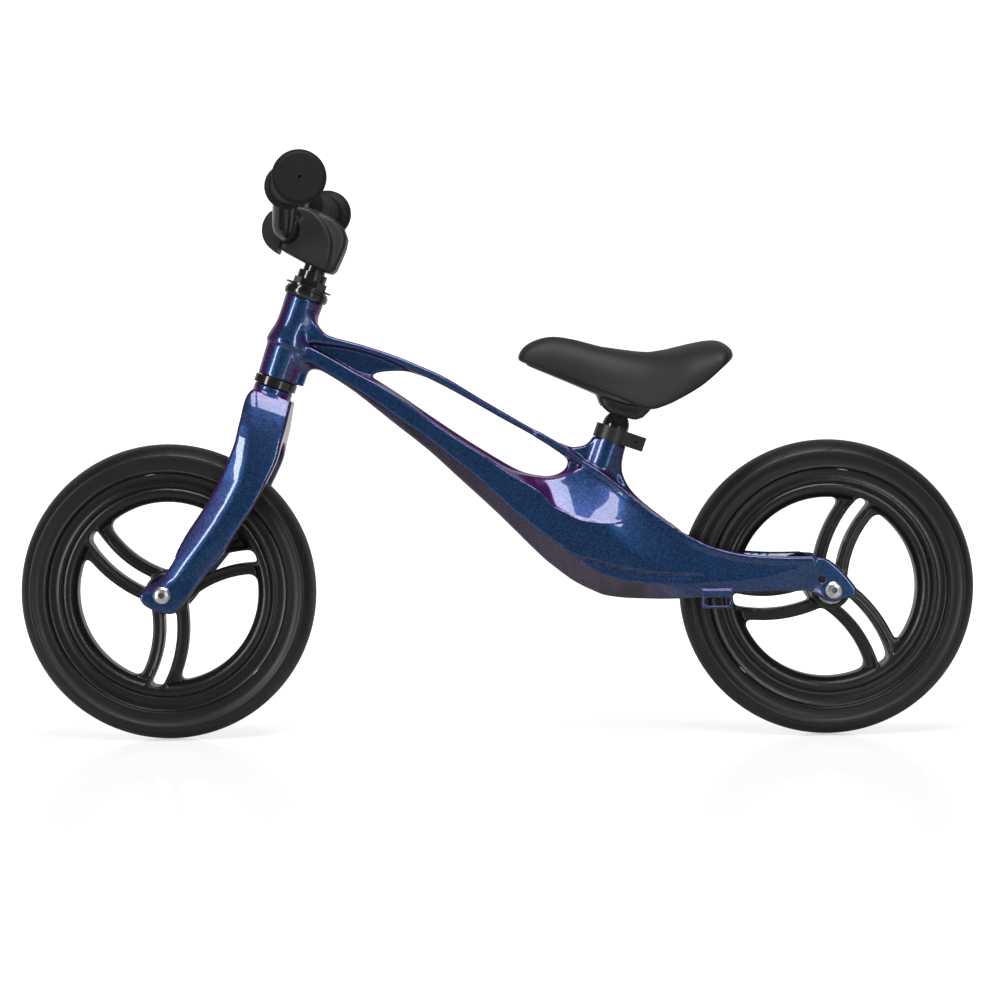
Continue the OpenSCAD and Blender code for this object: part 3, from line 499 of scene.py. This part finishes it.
# crease between the side face and the underside
CREASE = [(-175, 355), (-155, 343), (-131, 329), (-107, 313), (-88, 299), (-65, 283),
          (-39, 262), (-13, 241), (13, 216), (39, 195), (65, 176), (82, 164), (94, 156),
          (117, 149), (143, 146), (170, 145), (215, 144)]
LEDGE = [(70, 173), (76, 170), (90, 167), (110, 160), (142, 155), (168, 154), (200, 154)]
DISH_RIM = [(-12, 264), (14, 247), (40, 231), (52, 218), (65, 211), (77, 205), (96, 202),
            (110, 202), (122, 205)]
DISH_TOP = [(-12, 270), (1, 262), (20, 252), (33, 249), (47, 250), (57, 254), (66, 258),
            (72, 260), (80, 257), (98, 246), (111, 236), (120, 228)]
RIB = [(39, 284), (59, 272), (78, 259), (98, 246), (111, 236), (130, 219.5), (149, 204.5),
       (169, 190.5), (192, 179.2), (213, 172.7), (234, 168.8), (262, 166.8), (290, 166.8)]
# radius and height along the steering axis
HEAD_TUBE = [(-1, 8), (18.6, 8), (19.4, 24), (20.0, 38.5), (21.9, 41), (21.4, 46), (18.6, 57),
             (17.9, 64), (17.9, 76), (18.4, HEAD_TOP), (-1, HEAD_TOP)]
HEAD_BORE, CUP_SEAT = 14.0, 15.1
BRACKET_X = 203
TYRE_ROOM, TYRE_ROOM_HALF = 147, 28.5
STAY_CREASE = [(163, 146), (217, 147), (248, 151), (276, 159), (297, 166), (310, 168)]


def beam_field(g):
    """Broad beam and both stays as one outline, its half width set point by point."""
    x, z = g.X, g.Z
    beam = to_shape(x, z, np.vstack([curve(BEAM_TOP, 3), curve(BEAM_UNDER, 3)]))
    stay = to_shape(x, z, np.vstack([curve(STAY_UPPER, 4), curve(STAY_LOWER, 4)]))
    outline = np.minimum(beam, stay)
    full = along(x, BEAM_HALF)
    # sloping underside
    below = np.clip(along(x, CREASE) - z, 0, None)
    half = full - (1.05 + 0.33 * ramp(x, 68, 90)) * (1 - 0.55 * ramp(x, 130, 165)) * below
    # ledge with a groove under it along the lower body
    drop = along(x, LEDGE) - z
    reach = ramp(x, 64, 80) * (1 - ramp(x, 184, 200))
    half = half - reach * 3.6 * np.exp(-np.clip(drop, 0, None) / 5.0) * ramp(drop, -0.7, 1.1)
    # hollow dish from the opening down to the side face
    low, high = along(x, curve(DISH_RIM, 4)), along(x, curve(DISH_TOP, 4))
    share = np.clip((z - low) / np.maximum(high - low, 4.0), 0, 1.15)
    depth = (full - along(x, DISH_TOP_HALF)) * share + 1.6 * np.sin(np.pi * share)
    depth = depth + 0.9 * ramp(z - low, -0.2, 1.6)
    half = half - depth * ramp(x, -16, 6) * (1 - ramp(x, 88, 128)) * (z > low - 0.3)
    # right of the dish the side face leans in to the rib
    lean = np.clip(1 - to_line(x, z, curve(RIB, 3)) / 40.0, 0, 1) ** 1.5 * ramp(x, 86, 120)
    half = half - lean * np.clip(full - along(x, RIB_HALF), 0, None)
    # the stays, creased along their length
    off = z - along(x, STAY_CREASE)
    arm = along(x, STAY_OUT) - (1 - ramp(x, 284, 304)) * np.where(off < 0, -0.30 * off, 0.12 * off)
    half = half + (arm - half) * ramp(x, 158, 206)
    body = meet(g.flat(outline) + 0 * g.Y3, (g.Y3 - g.flat(half)) * 0.85, 2.6)
    return meet(body, g.flat(along(x, STAY_IN)) - g.Y3, 2.6)


def rib_field(g):
    """Ridge that carries the top tube's edge down to the stay."""
    reach = to_line(g.X, g.Z, curve(RIB, 4)) - 2.4
    ridge = meet(g.flat(reach) + 0 * g.Y3, g.Y3 - g.flat(along(g.X, RIB_HALF)), 2.0)
    return np.maximum(ridge, g.flat(along(g.X, STAY_IN)) + 1.5 - g.Y3)


def neck_field(g):
    """Thin wall above the beam, round the opening and up to the seat tube."""
    outline = to_shape(g.X, g.Z, np.vstack([curve(OPENING_RIM, 3), curve(FIN, 3),
                                            curve(SEAT_BACK, 3), NECK_FOOT]))
    return meet(g.flat(outline) + 0 * g.Y3, g.Y3 - g.flat(along(g.X, NECK_HALF)), 4.0)


def top_tube_field(g):
    """Arched tube from the head tube down to the seat tube."""
    outline = to_shape(g.X, g.Z, np.vstack([curve(TOP_TUBE, 4), curve(TOP_TUBE_UNDER, 4)]))
    return meet(g.flat(outline) + 0 * g.Y3, g.Y3 - g.flat(along(g.X, TOP_HALF)), 3.6)


def web_field(g):
    """Thin web in the corner behind the head tube."""
    outline = to_shape(g.X, g.Z, np.vstack([curve(WEB_EDGE, 3), WEB_BACK]))
    return meet(g.flat(outline) + 0 * g.Y3, g.Y3 - WEB_HALF, 1.5)


def seat_tube_field(g):
    """Drawn solid: its wall is thinner than two steps of the grid."""
    across, up = g.tilted(SEAT, SEAT_TILT)
    tube = np.sqrt(across ** 2 + g.Y3 ** 2) - SEAT_R
    return meet(meet(tube, up - SEAT_TOP, 0.8), -62 - up, 6.0)


def head_tube_field(g):
    """Waisted tube about the steering axis, with the lug and tongue of the steering stop."""
    across, up = g.tilted(HEAD, HEAD_TILT)
    radius = np.sqrt(across ** 2 + g.Y3 ** 2)
    up = up + 0 * g.Y3
    near = (radius < 34) & (up > -8) & (up < HEAD_TOP + 12)
    d = np.maximum(radius - 21.6, np.maximum(8 - up, up - HEAD_TOP))
    d[near] = to_shape(radius[near], up[near], HEAD_TUBE)
    lug = np.maximum(np.maximum(np.abs(across - 19.2) - 6.3, g.Y3 - 8), np.abs(up - 21.5) - 12.5)
    tongue = np.maximum(np.maximum(np.abs(across - 17.7) - 0.8, g.Y3 - 4), np.abs(up - 7.2) - 3)
    return np.minimum(join(d, lug, 3.5), tongue)


def bracket_field(g):
    """Slotted plate under each stay and the shelf that carries it."""
    plate = meet(g.flat(np.maximum(np.abs(g.X - BRACKET_X) - 14,
                                   np.abs(g.Z - 130.2) - 7.8)) + 0 * g.Y3,
                 np.abs(g.Y3 - 47.2) - 2.3, 1.0)
    slot = g.flat(np.hypot(np.clip(np.abs(g.X - BRACKET_X) - 8, 0, None), g.Z - 128.8)) - 3.6
    shelf = meet(g.flat(np.maximum(np.abs(g.X - BRACKET_X) - 15,
                                   np.abs(g.Z - 138.5) - 1.6)) + 0 * g.Y3,
                 np.abs(g.Y3 - 47) - 3.6, 1.0)
    return np.minimum(meet(plate, -slot, 0.8), shelf)


def frame_field(g):
    """The whole casting with its bores."""
    f = join(beam_field(g), neck_field(g), 5.0)
    f = join(f, seat_tube_field(g), 7.0)
    f = join(f, rib_field(g), 3.0)
    f = join(f, top_tube_field(g), 3.0)
    f = join(f, web_field(g), 2.5)
    f = join(f, head_tube_field(g), 5.0)
    f = np.minimum(f, bracket_field(g))
    tyre_room = np.maximum(g.rod(AXLE_X, AXLE_Z) - TYRE_ROOM, g.Y3 - TYRE_ROOM_HALF)
    f = meet(f, -tyre_room, 2.5)
    across, up = g.tilted(HEAD, HEAD_TILT)
    radius = np.sqrt(across ** 2 + g.Y3 ** 2)
    f = np.maximum(f, HEAD_BORE - radius)
    for lo, hi in ((-5, 19), (HEAD_TOP - 11, HEAD_TOP + 1)):
        f = np.maximum(f, -np.maximum(radius - CUP_SEAT, np.maximum(lo - up, up - hi)))
    across, up = g.tilted(SEAT, SEAT_TILT)
    radius = np.sqrt(across ** 2 + g.Y3 ** 2)
    # room for the clamp collar
    f = np.maximum(f, -np.maximum(np.maximum(SEAT_R - radius, -0.5 - up), radius - 36))
    f = meet(f, AXLE_HOLE - g.rod(AXLE_X, AXLE_Z) + 0 * g.Y3, 0.6)
    return meet(f, 3.2 - g.rod(AXLE_X - 10.4, AXLE_Z + 9.6) + 0 * g.Y3, 0.8)


# ---------- cast fork ----------
BLADE_FRONT = [(-216, 334), (-226, 330.5), (-232.5, 324), (-236, 314), (-238, 304),
               (-241, 291), (-244, 278), (-251, 260),
               (-260, 240), (-273, 218), (-293, 190), (-312, 164.5), (-325, 149.5),
               (-330.5, 140), (-329, 132), (-320, 125.5), (-306, 121.5), (-298, 122.5),
               (-290.5, 130)]
BLADE_BACK = [(-275, 151), (-253, 178), (-238, 201), (-225, 220), (-214, 241), (-204, 262),
              (-200, 278), (-196, 293), (-192, 312), (-190, 317)]
FORK_OUT = [(17, -7), (21, -10), (25, -15.5), (29, -22.5), (33, -31), (37.5, -42), (41, -53),
            (44, -66), (47, -86), (50, -130), (52, -180), (DROP_OUT, -205), (DROP_OUT, -250)]
FORK_IN = [(DROP_IN, -250), (DROP_IN, -190), (41, -172), (35, -140), (31, -100), (29, -76),
           (25, -60), (15, -50), (0, -47), (-2, -47)]
COLLAR_R, STEERER_BORE = 18.4, 12.7
# half width of the side facet at a height along the steering axis
FACET_HALF = [(-250, 53), (-205, 53), (-180, 52.4), (-130, 50.6), (-86, 47.4), (-66, 44.4),
              (-53, 41.4), (-42, 37.9), (-31, 33.6), (-22.5, 29.6), (-15.5, 25.6), (-10, 21.6)]
# crease between the front and the side facet, X at a height Z
BLADE_RIDGE = [(120, -318), (152, -296), (172, -281), (189, -268), (207, -255), (225, -244),
               (245, -234), (267, -229), (286, -226), (302, -225), (330, -224)]


def fork_field(g):
    """Crown and two bent blades, each with a front and a side facet."""
    x, z = g.X, g.Z
    outline = to_shape(x, z, np.vstack([curve(BLADE_FRONT, 4), curve(BLADE_BACK, 4)]))
    across, up = g.tilted(HEAD, HEAD_TILT)
    front = section(g.Y3 + 0 * up, up + 0 * g.Y3, (0, 60), (-262, 6),
                    np.vstack([[(-2, -9)], curve(FORK_OUT, 4), curve(FORK_IN, 4)]))
    ridge = along(z, BLADE_RIDGE)
    ease = 1 - ramp(-z, -158, -134)
    ahead = np.clip(ridge - x, 0, None)
    slope = ease * (0.36 * ahead + 0.0035 * ahead ** 2 + 0.10 * np.clip(x - ridge, 0, None))
    edge = along(up, FACET_HALF)
    facet = (g.Y3 - edge + g.flat(slope)) * 0.88
    f = meet(meet(g.flat(outline) + 0 * g.Y3, front, 3.0), facet, 2.4)
    radius = np.sqrt(across ** 2 + g.Y3 ** 2)
    collar = meet(meet(radius - COLLAR_R, up + 0.2, 1.2), -26 - up, 1.0)
    f = join(f, collar, 3.0)
    f = np.maximum(f, STEERER_BORE - radius)
    return meet(f, AXLE_HOLE - g.rod(-AXLE_X, AXLE_Z) + 0 * g.Y3, 0.6)


def field_piece(name, field, grid, material, slot, body, *nodes):
    points, quads = surface(field(grid), grid)
    piece = make_mesh(name, points, quads, material, body)
    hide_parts(*nodes)


# ---------- wheels ----------
# half width of the wheel between the windows and the groove beside the rim
RIM_SLOPE = [(84.4, 8.6), (85.2, 9.4), (86.4, 11.6), (88.2, 14.0), (90.4, 15.6), (93.0, 16.35),
             (95.6, 16.2), (97.2, 15.4), (98.4, 14.3)]
RIM_EDGE = [(97.0, -13.7), (98.9, -13.8), (99.3, -14.7), (100.0, -15.1), (101.6, -15.2),
            (102.5, -14.8), (102.9, -13.6), (104.2, -13.2), (110.6, -13.3), (111.3, -13.9)]
TYRE_WALL = [(111.5, -14.2), (112.2, -17.2), (113.1, -18.2), (113.5, -18.9), (114.0, -18.9),
             (114.5, -18.3), (117.0, -18.1), (120.0, -18.4), (123.0, -19.6), (125.4, -21.0),
             (127.2, -21.4), (128.8, -20.9), (130.6, -19.2), (132.8, -16.6), (135.0, -13.4),
             (136.9, -9.4), (138.3, -4.8), (139.0, 0)]
SPOKE_MID, SPOKE_R = (50, -106), 115
SPOKE_HALF, SLOT_HALF = 17, 5.8
SPOKE_T, HUB_R, HUB_L = 8.5, 18.8, 36
WINDOW_R, RIM_R = 84.6, 98.4
HUB_BORE, BEARING_R, BEARING_L = 10.0, 14.0, 8.0
WHEELS = [("front", -AXLE_X, 20.5), ("rear", AXLE_X, 65.5)]


def turned(x, z, degrees):
    a = math.radians(degrees)
    return x * math.cos(a) - z * math.sin(a), x * math.sin(a) + z * math.cos(a)


def wheel_field(g):
    """Three slotted spokes, the inside of the rim and the hub, about the origin."""
    r = np.hypot(g.X, g.Z)
    plate, slots = WINDOW_R - r, None
    arms = r - HUB_R
    for k in range(3):
        x, z = turned(g.X, g.Z, -120 * k)
        off = np.abs(np.hypot(x - SPOKE_MID[0], z - SPOKE_MID[1]) - SPOKE_R)
        arms = join(arms, meet(off - SPOKE_HALF, -x, 2.0), 3.0)
        slot = meet(meet(off - SLOT_HALF, r - 89.6, 5.0), 19.5 - r, 4.0)
        slot = np.maximum(slot, -x)
        slots = slot if slots is None else np.minimum(slots, slot)
    plate = np.maximum(join(plate, arms, 9.0), r - 98.2)
    flat = meet(g.flat(plate) + 0 * g.Y3, g.Y3 - SPOKE_T, 2.4)
    ring = g.flat(np.maximum(WINDOW_R - r, r - RIM_R)) + 0 * g.Y3
    rim = meet(ring, (g.Y3 - g.flat(along(r, RIM_SLOPE))) * 0.8, 1.2)
    f = np.minimum(flat, rim)
    # a raised lip runs round each slot and stands against the rim
    lip = g.flat(np.abs(slots - 1.5) - 1.6) + 0 * g.Y3
    stand = g.flat(SPOKE_T + 1.1 + 5.2 * ramp(r, 70, 90))
    f = join(f, meet(lip, g.Y3 - stand, 1.0), 0.8)
    f = meet(f, -(g.flat(slots) + 0 * g.Y3), 0.8)
    hub = meet(g.flat(r - HUB_R) + 0 * g.Y3, g.Y3 - HUB_L, 1.5)
    f = join(f, hub, 3.0)
    f = np.maximum(f, -np.maximum(g.flat(r - BEARING_R), HUB_L - BEARING_L - g.Y3))
    return np.maximum(f, g.flat(HUB_BORE - r) + 0 * g.Y3)


def lathe(half_section, turns):
    """Ring about the Y axis from one half of its section, the other half mirrored."""
    half = np.array(half_section, float)
    back = half[::-1] * [1, -1]
    if half[-1][1] == 0:
        back = back[1:]
    loop = np.vstack([half, back])
    a = np.arange(turns)[:, None] * 2 * math.pi / turns
    points = np.stack([loop[:, 0] * np.cos(a), loop[:, 1] + 0 * a, loop[:, 0] * np.sin(a)], 2)
    n = len(loop)
    i, j = np.meshgrid(np.arange(turns), np.arange(n), indexing="ij")
    nexti, nextj = (i + 1) % turns, (j + 1) % n
    quads = np.stack([i * n + j, nexti * n + j, nexti * n + nextj, i * n + nextj], 2)
    return points.reshape(-1, 3), quads.reshape(-1, 4)


def outward(points, quads):
    """Faces turned so that the closed surface's volume is positive."""
    a, b, c, d = (points[quads[:, k]] for k in range(4))
    volume = (a * np.cross(b, c)).sum() + (a * np.cross(c, d)).sum()
    return quads if volume > 0 else quads[:, ::-1]


def put_wheel(points, x, phase):
    """Points about the origin turned by phase and set on the axle at x."""
    px, pz = turned(points[:, 0], points[:, 2], phase)
    return np.stack([px + x, points[:, 1], pz + AXLE_Z], 1)


def wheels(step):
    """Both wheels: field spokes joined to a turned rim edge, and a turned tyre."""
    grid = Grid((-101, 101), 39, (-101, 101), step)
    spokes, spoke_quads = surface(wheel_field(grid), grid)
    edge, edge_quads = lathe(RIM_EDGE, 240)
    tyre, tyre_quads = lathe(curve(TYRE_WALL, 3), 360)
    body = np.vstack([spokes, edge])
    quads = np.vstack([spoke_quads, outward(edge, edge_quads) + len(spokes)])
    tyre_quads = outward(tyre, tyre_quads)
    for end, x, phase in WHEELS:
        wheel = make_mesh(end + "_spoked_wheel", put_wheel(body, x, phase), quads,
                          wheel_plastic, end + "_wheel")
        wheel.data.set_sharp_from_angle(angle=math.radians(42))
        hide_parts(end + "_wheel")
        ring = make_mesh(end + "_foam_tyre", put_wheel(tyre, x, phase), tyre_quads,
                         tyre_rubber, end + "_wheel")
        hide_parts(end + "_tyre")


# ---------- stem cover ----------
COVER = [(-35.5, 123.5), (-34.5, 136), (-33, 150), (-27, 158), (-34, 163), (-33, 166.5),
         (-22, 168.6), (-8, 168.4), (3, 166.5), (14, 161.5), (20, 154), (21.4, 145),
         (20.6, 132), (19.6, 122), (17, 118), (12, 117.2), (-8, 119)]
COVER_CREASE = [(-30, 168), (-20, 165.5), (-8, 160), (1, 152.5), (6.5, 144), (9, 134),
                (10, 124), (10.5, 112)]


def cover_field(g):
    """Rounded wedge with a curved crease on each side, hollow round the stem."""
    across, up = g.tilted(HEAD, HEAD_TILT)
    a2, u2 = across[:, 0], up[:, 0]
    outline = to_shape(a2, u2, COVER)
    beyond = to_shape(a2, u2, np.vstack([curve(COVER_CREASE, 4), [(40, 112), (40, 190),
                                                                 (-30, 190)]]))
    half = 23.6 - 2.6 * ramp(-beyond, -0.6, 4.5) - 0.16 * np.clip(-beyond, 0, 16)
    half = half - 1.2 * ramp(u2, 128, 119)
    f = meet(g.flat(outline) + 0 * g.Y3, (g.Y3 - g.flat(half)) * 0.9, 4.4)
    hollow = to_shape(a2, u2, [(-40, 125.4), (-40, 160.5), (-16, 161), (10, 159.5), (16.6, 152),
                               (16.6, 121.5), (-12, 121.5)])
    f = np.maximum(f, -np.maximum(g.flat(hollow), g.Y3 - g.flat(half) + 2.4))
    mid = np.hypot(a2 + 36, u2 - 142)
    f = np.maximum(f, g.flat(12.6 - mid) + 0 * g.Y3)
    foot = np.sqrt(across ** 2 + g.Y3 ** 2) - 11.8
    return np.maximum(f, -np.maximum(foot, up - 130))


# ---------- saddle pad ----------
PAD_GRID = 2.8
PAD_TOP = [(19.5, 355), (23, 364), (33, 372), (51, 376.8), (73, 374), (99, 367), (135, 362),
           (158, 363.5), (181, 369), (200, 372.2), (211, 370), (220, 362.5)]
PAD_BOTTOM = [(220, 355), (209, 345.5), (189, 328.5), (165, 314.5), (152, 309), (144, 307),
              (134, 308.7), (111, 318.5), (66, 337), (30, 350.5)]
PAD_PLAN = [(18, 0), (19, 12), (23, 20), (32, 24), (60, 27.5), (90, 32), (120, 42), (150, 57),
            (175, 66), (195, 67), (210, 65), (218, 52), (221, 30), (221.5, 0)]
PAN_PLAN = [(27, 0), (28, 10), (34, 18), (60, 22), (90, 26.5), (120, 36), (150, 50), (175, 58),
            (195, 58), (206, 44), (209, 0)]
PAN_TOP = [(24, 353.5), (66, 341), (111, 324), (134, 322), (165, 324), (189, 334), (212, 351)]
SHELL_UNDER = [(207, 343.6), (188, 328.0), (165, 315.0), (144, 308.6), (134, 309.8), (111, 315.0),
               (66, 334), (30, 349)]
BOSS = [(92, 327), (96, 315), (100, 308.5), (106, 304), (118, 300), (131, 297), (137, 299.5),
        (143, 305), (148, 312), (150, 319), (111, 321)]
BOSS_PLAN = [(91, 0), (92, 13), (99, 19), (120, 21), (142, 20), (149, 13), (150, 0)]
# most that the cloth may swell, height of its held edge, and frames simulated
CUSHION_SWELL, HELD_EDGE, SIM_FRAMES = 3.0, 6.0, 20


def mirrored(points):
    """Closed outline from one half of it."""
    return np.vstack([points, np.array(points)[::-1] * [1, -1]])


def pad_field(g):
    """Crowned pad, widest along its lower edge, closed underneath."""
    side = to_shape(g.X, g.Z, np.vstack([curve(PAD_TOP, 4), curve(PAD_BOTTOM, 4)]))
    px, py = np.meshgrid(g.x, g.y, indexing="ij")
    plan = to_shape(px, py, mirrored(curve(PAD_PLAN, 4)))[:, :, None]
    top = np.interp(g.x, *np.array(curve(PAD_TOP, 4)).T)
    low = np.interp(g.x, *np.array(curve(PAD_BOTTOM, 4))[::-1].T)
    wide = np.maximum(np.interp(g.x, *np.array(curve(PAD_PLAN, 4)).T), 2.0)
    tall = np.maximum(top - low, 6.0)
    share = np.clip((g.Z - low[:, None]) / tall[:, None], 0, 2)
    reach = g.Y3 / wide[:, None, None]
    crown = ((reach ** 2.5 + g.flat(share ** 2.3)) ** 0.42 - 1) * (0.75 * tall)[:, None, None]
    return meet(crown, meet(g.flat(side) + 0 * g.Y3, plan, 2.0), 1.5)


def saddle_pad():
    """Foam pad blown up as cloth, its underside held."""
    grid = Grid((14, 226), 74, (300, 382), PAD_GRID)
    points, quads = surface(pad_field(grid), grid)
    pad = make_mesh("saddle_cushion", points, quads, saddle_skin, "saddle")
    low = np.interp(points[:, 0], *np.array(curve(PAD_BOTTOM, 4))[::-1].T)
    held = pad.vertex_groups.new(name="held")
    held.add([int(i) for i in np.nonzero(points[:, 2] < low + HELD_EDGE)[0]], 1.0, "REPLACE")
    cloth = pad.modifiers.new("cloth", "CLOTH")
    setting = cloth.settings
    setting.quality = 6
    setting.mass = 0.3
    setting.tension_stiffness = setting.compression_stiffness = 18
    setting.bending_stiffness = 1.2
    setting.use_pressure = True
    setting.uniform_pressure_force = 4.0
    setting.vertex_group_mass = "held"
    setting.effector_weights.gravity = 0.0
    cloth.collision_settings.use_collision = False
    scene = bpy.context.scene
    for step in range(1, SIM_FRAMES + 1):
        scene.frame_set(step)
    blown = pad.evaluated_get(bpy.context.evaluated_depsgraph_get()).to_mesh()
    after = np.empty(len(points) * 3)
    blown.vertices.foreach_get("co", after)
    after = after.reshape(-1, 3) / MM
    pad.evaluated_get(bpy.context.evaluated_depsgraph_get()).to_mesh_clear()
    pad.modifiers.remove(cloth)
    scene.frame_set(1)
    move = after - points
    size = np.linalg.norm(move, axis=1, keepdims=True)
    points = points + move * np.minimum(1, CUSHION_SWELL / np.maximum(size, 1e-6))
    print("cushion blown up by", round(float(size.max()), 1), "mm before the cap")
    pad.data.vertices.foreach_set("co", (points * MM).astype(np.float32).ravel())
    smooth = pad.modifiers.new("round", "SUBSURF")
    smooth.levels = smooth.render_levels = 1
    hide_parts("saddle_pad")


def shell_field(g):
    """Thin saddle shell under the pad and the boss its bracket sits in."""
    px, py = np.meshgrid(g.x, g.y, indexing="ij")
    plan = to_shape(px, py, mirrored(curve(PAN_PLAN, 3)))[:, :, None]
    side = to_shape(g.X, g.Z, np.vstack([curve(PAN_TOP, 3), curve(SHELL_UNDER, 3)]))
    shell = meet(g.flat(side) + 0 * g.Y3, plan, 2.0)
    boss_plan = to_shape(px, py, mirrored(curve(BOSS_PLAN, 3)))[:, :, None]
    boss = meet(g.flat(to_shape(g.X, g.Z, BOSS)) + 0 * g.Y3, boss_plan, 6.0)
    f = join(shell, boss, 3.0)
    across, up = g.tilted(SEAT, SEAT_TILT)
    room = np.maximum(np.maximum(np.abs(across) - 18, g.Y3 - 16.5), np.abs(up - 29) - 11)
    return np.maximum(f, -room)


# ---------- stage ----------
def stage():
    """Pale floor that sweeps up into a wall."""
    front, back, sweep, top, half = -3.2, 2.2, 1.6, 4.5, 6.0
    angles = [math.radians(a) for a in range(6, 91, 6)]
    depth = [front, back] + [back + sweep * math.sin(a) for a in angles]
    height = [0.0, 0.0] + [sweep - sweep * math.cos(a) for a in angles]
    depth, height = depth + [depth[-1]], height + [top]
    points = [(x, y, z) for y, z in zip(depth, height) for x in (-half, half)]
    faces = [(2 * i, 2 * i + 1, 2 * i + 3, 2 * i + 2) for i in range(len(depth) - 1)]
    mesh = bpy.data.meshes.new("studio_floor")
    mesh.from_pydata(points, [], faces)
    mesh.shade_smooth()
    mesh.materials.append(floor_material())
    floor = bpy.data.objects.new("studio_floor", mesh)
    bpy.context.scene.collection.objects.link(floor)


def area_light(name, place, target, size, power):
    """Rectangular light at place that faces target."""
    light = bpy.data.lights.new(name, "AREA")
    light.shape = "RECTANGLE"
    light.size, light.size_y = size
    light.energy = power
    lamp = bpy.data.objects.new(name, light)
    lamp.location = place
    lamp.rotation_euler = (Vector(target) - Vector(place)).to_track_quat("-Z", "Y").to_euler()
    bpy.context.scene.collection.objects.link(lamp)


def lights():
    """Softbox above, a strip on each side, and a dim world."""
    area_light("softbox_top", (0.1, -0.75, 1.9), (0.05, -0.15, 0.3), (1.4, 0.8), 30)
    area_light("strip_left", (-2.05, -1.75, 0.8), (-0.1, 0.0, 0.3), (0.38, 1.7), 30)
    area_light("strip_right", (1.25, -2.35, 0.85), (0.1, 0.0, 0.3), (0.30, 1.5), 15)
    world = bpy.data.worlds.new("studio_world")
    world.use_nodes = True
    tree = world.node_tree
    tree.nodes.clear()
    ground = add(tree, "Background", {0: (1.0, 1.0, 1.0, 1), 1: 0.08})
    out = add(tree, "OutputWorld")
    tree.links.new(ground.outputs[0], out.inputs[0])
    bpy.context.scene.world = world
    bpy.context.scene.view_settings.view_transform = "Standard"


def camera():
    """Level with the bike's middle, square to its left side and rolled by a hair."""
    data = bpy.data.cameras.new("camera")
    data.lens, data.sensor_width = 90.16, 36.0
    cam = bpy.data.objects.new("camera", data)
    pitch, yaw, roll = math.radians(-1.829), math.radians(-0.252), math.radians(-0.435)
    turn = Matrix.Rotation(yaw, 4, "Z") @ Matrix.Rotation(math.radians(90) + pitch, 4, "X")
    place = Matrix.Translation((-0.00767, -2.360, 0.2983))
    cam.matrix_world = place @ turn @ Matrix.Rotation(roll, 4, "Z")
    bpy.context.scene.collection.objects.link(cam)
    bpy.context.scene.camera = cam


camera()
lights()
stage()

paint = paint_material()
gloss_black = black_material("gloss_black", (0.008, 0.008, 0.009), 0.16, 500.0, 0.00001, coat=0.6)
satin_black = black_material("satin_black", (0.012, 0.012, 0.0125), 0.36, 700.0, 0.00002)
wheel_plastic = black_material("wheel_plastic", (0.004, 0.004, 0.0042), 0.30, 600.0, 0.00003)
cap_plastic = black_material("cap_plastic", (0.014, 0.014, 0.0145), 0.42, 900.0, 0.00004)
soft_cover = black_material("soft_cover", (0.007, 0.007, 0.0073), 0.44, 800.0, 0.00005)
grip_rubber = black_material("grip_rubber", (0.004, 0.004, 0.0042), 0.60, 900.0, 0.00006, spec=0.28)
pan_plastic = black_material("pan_plastic", (0.010, 0.010, 0.0105), 0.34, 500.0, 0.00003)
steel = metal_material("steel", (0.50, 0.51, 0.53), 0.26)
zinc = metal_material("zinc", (0.80, 0.80, 0.81), 0.20)
tyre_rubber = tyre_material()
saddle_skin = saddle_material()

FINISH = {"paint": paint, "gloss_black": gloss_black, "satin_black": satin_black,
          "steel": steel, "zinc": zinc, "cap_plastic": cap_plastic, "soft_cover": soft_cover,
          "pan_plastic": pan_plastic, "wheel_plastic": wheel_plastic, "tyre": tyre_rubber,
          "grip_rubber": grip_rubber, "pad": saddle_skin}
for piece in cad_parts.values():
    for place in piece.material_slots:
        key = place.material.name.split(".")[0] if place.material else ""
        if key in FINISH:
            place.material = FINISH[key]

GRID, COVER_GRID = (1.3), 1.1
field_piece("cast_frame", frame_field, Grid((-240, 340), 58, (116, 442), GRID), paint,
            "paint", "frame", "frame", "stay_left", "stay_right")
field_piece("cast_fork", fork_field, Grid((-338, -178), 58, (116, 344), GRID), paint,
            "paint", "fork", "fork")
wheels(GRID)
field_piece("moulded_stem_cover", cover_field, Grid((-235, -125), 28, (430, 505), COVER_GRID),
            soft_cover, "soft_cover", "handlebar", "stem_cover")
saddle_pad()
field_piece("saddle_shell", shell_field, Grid((22, 214), 62, (294, 358), GRID),
            pan_plastic, "pan_plastic", "saddle", "saddle_pan")
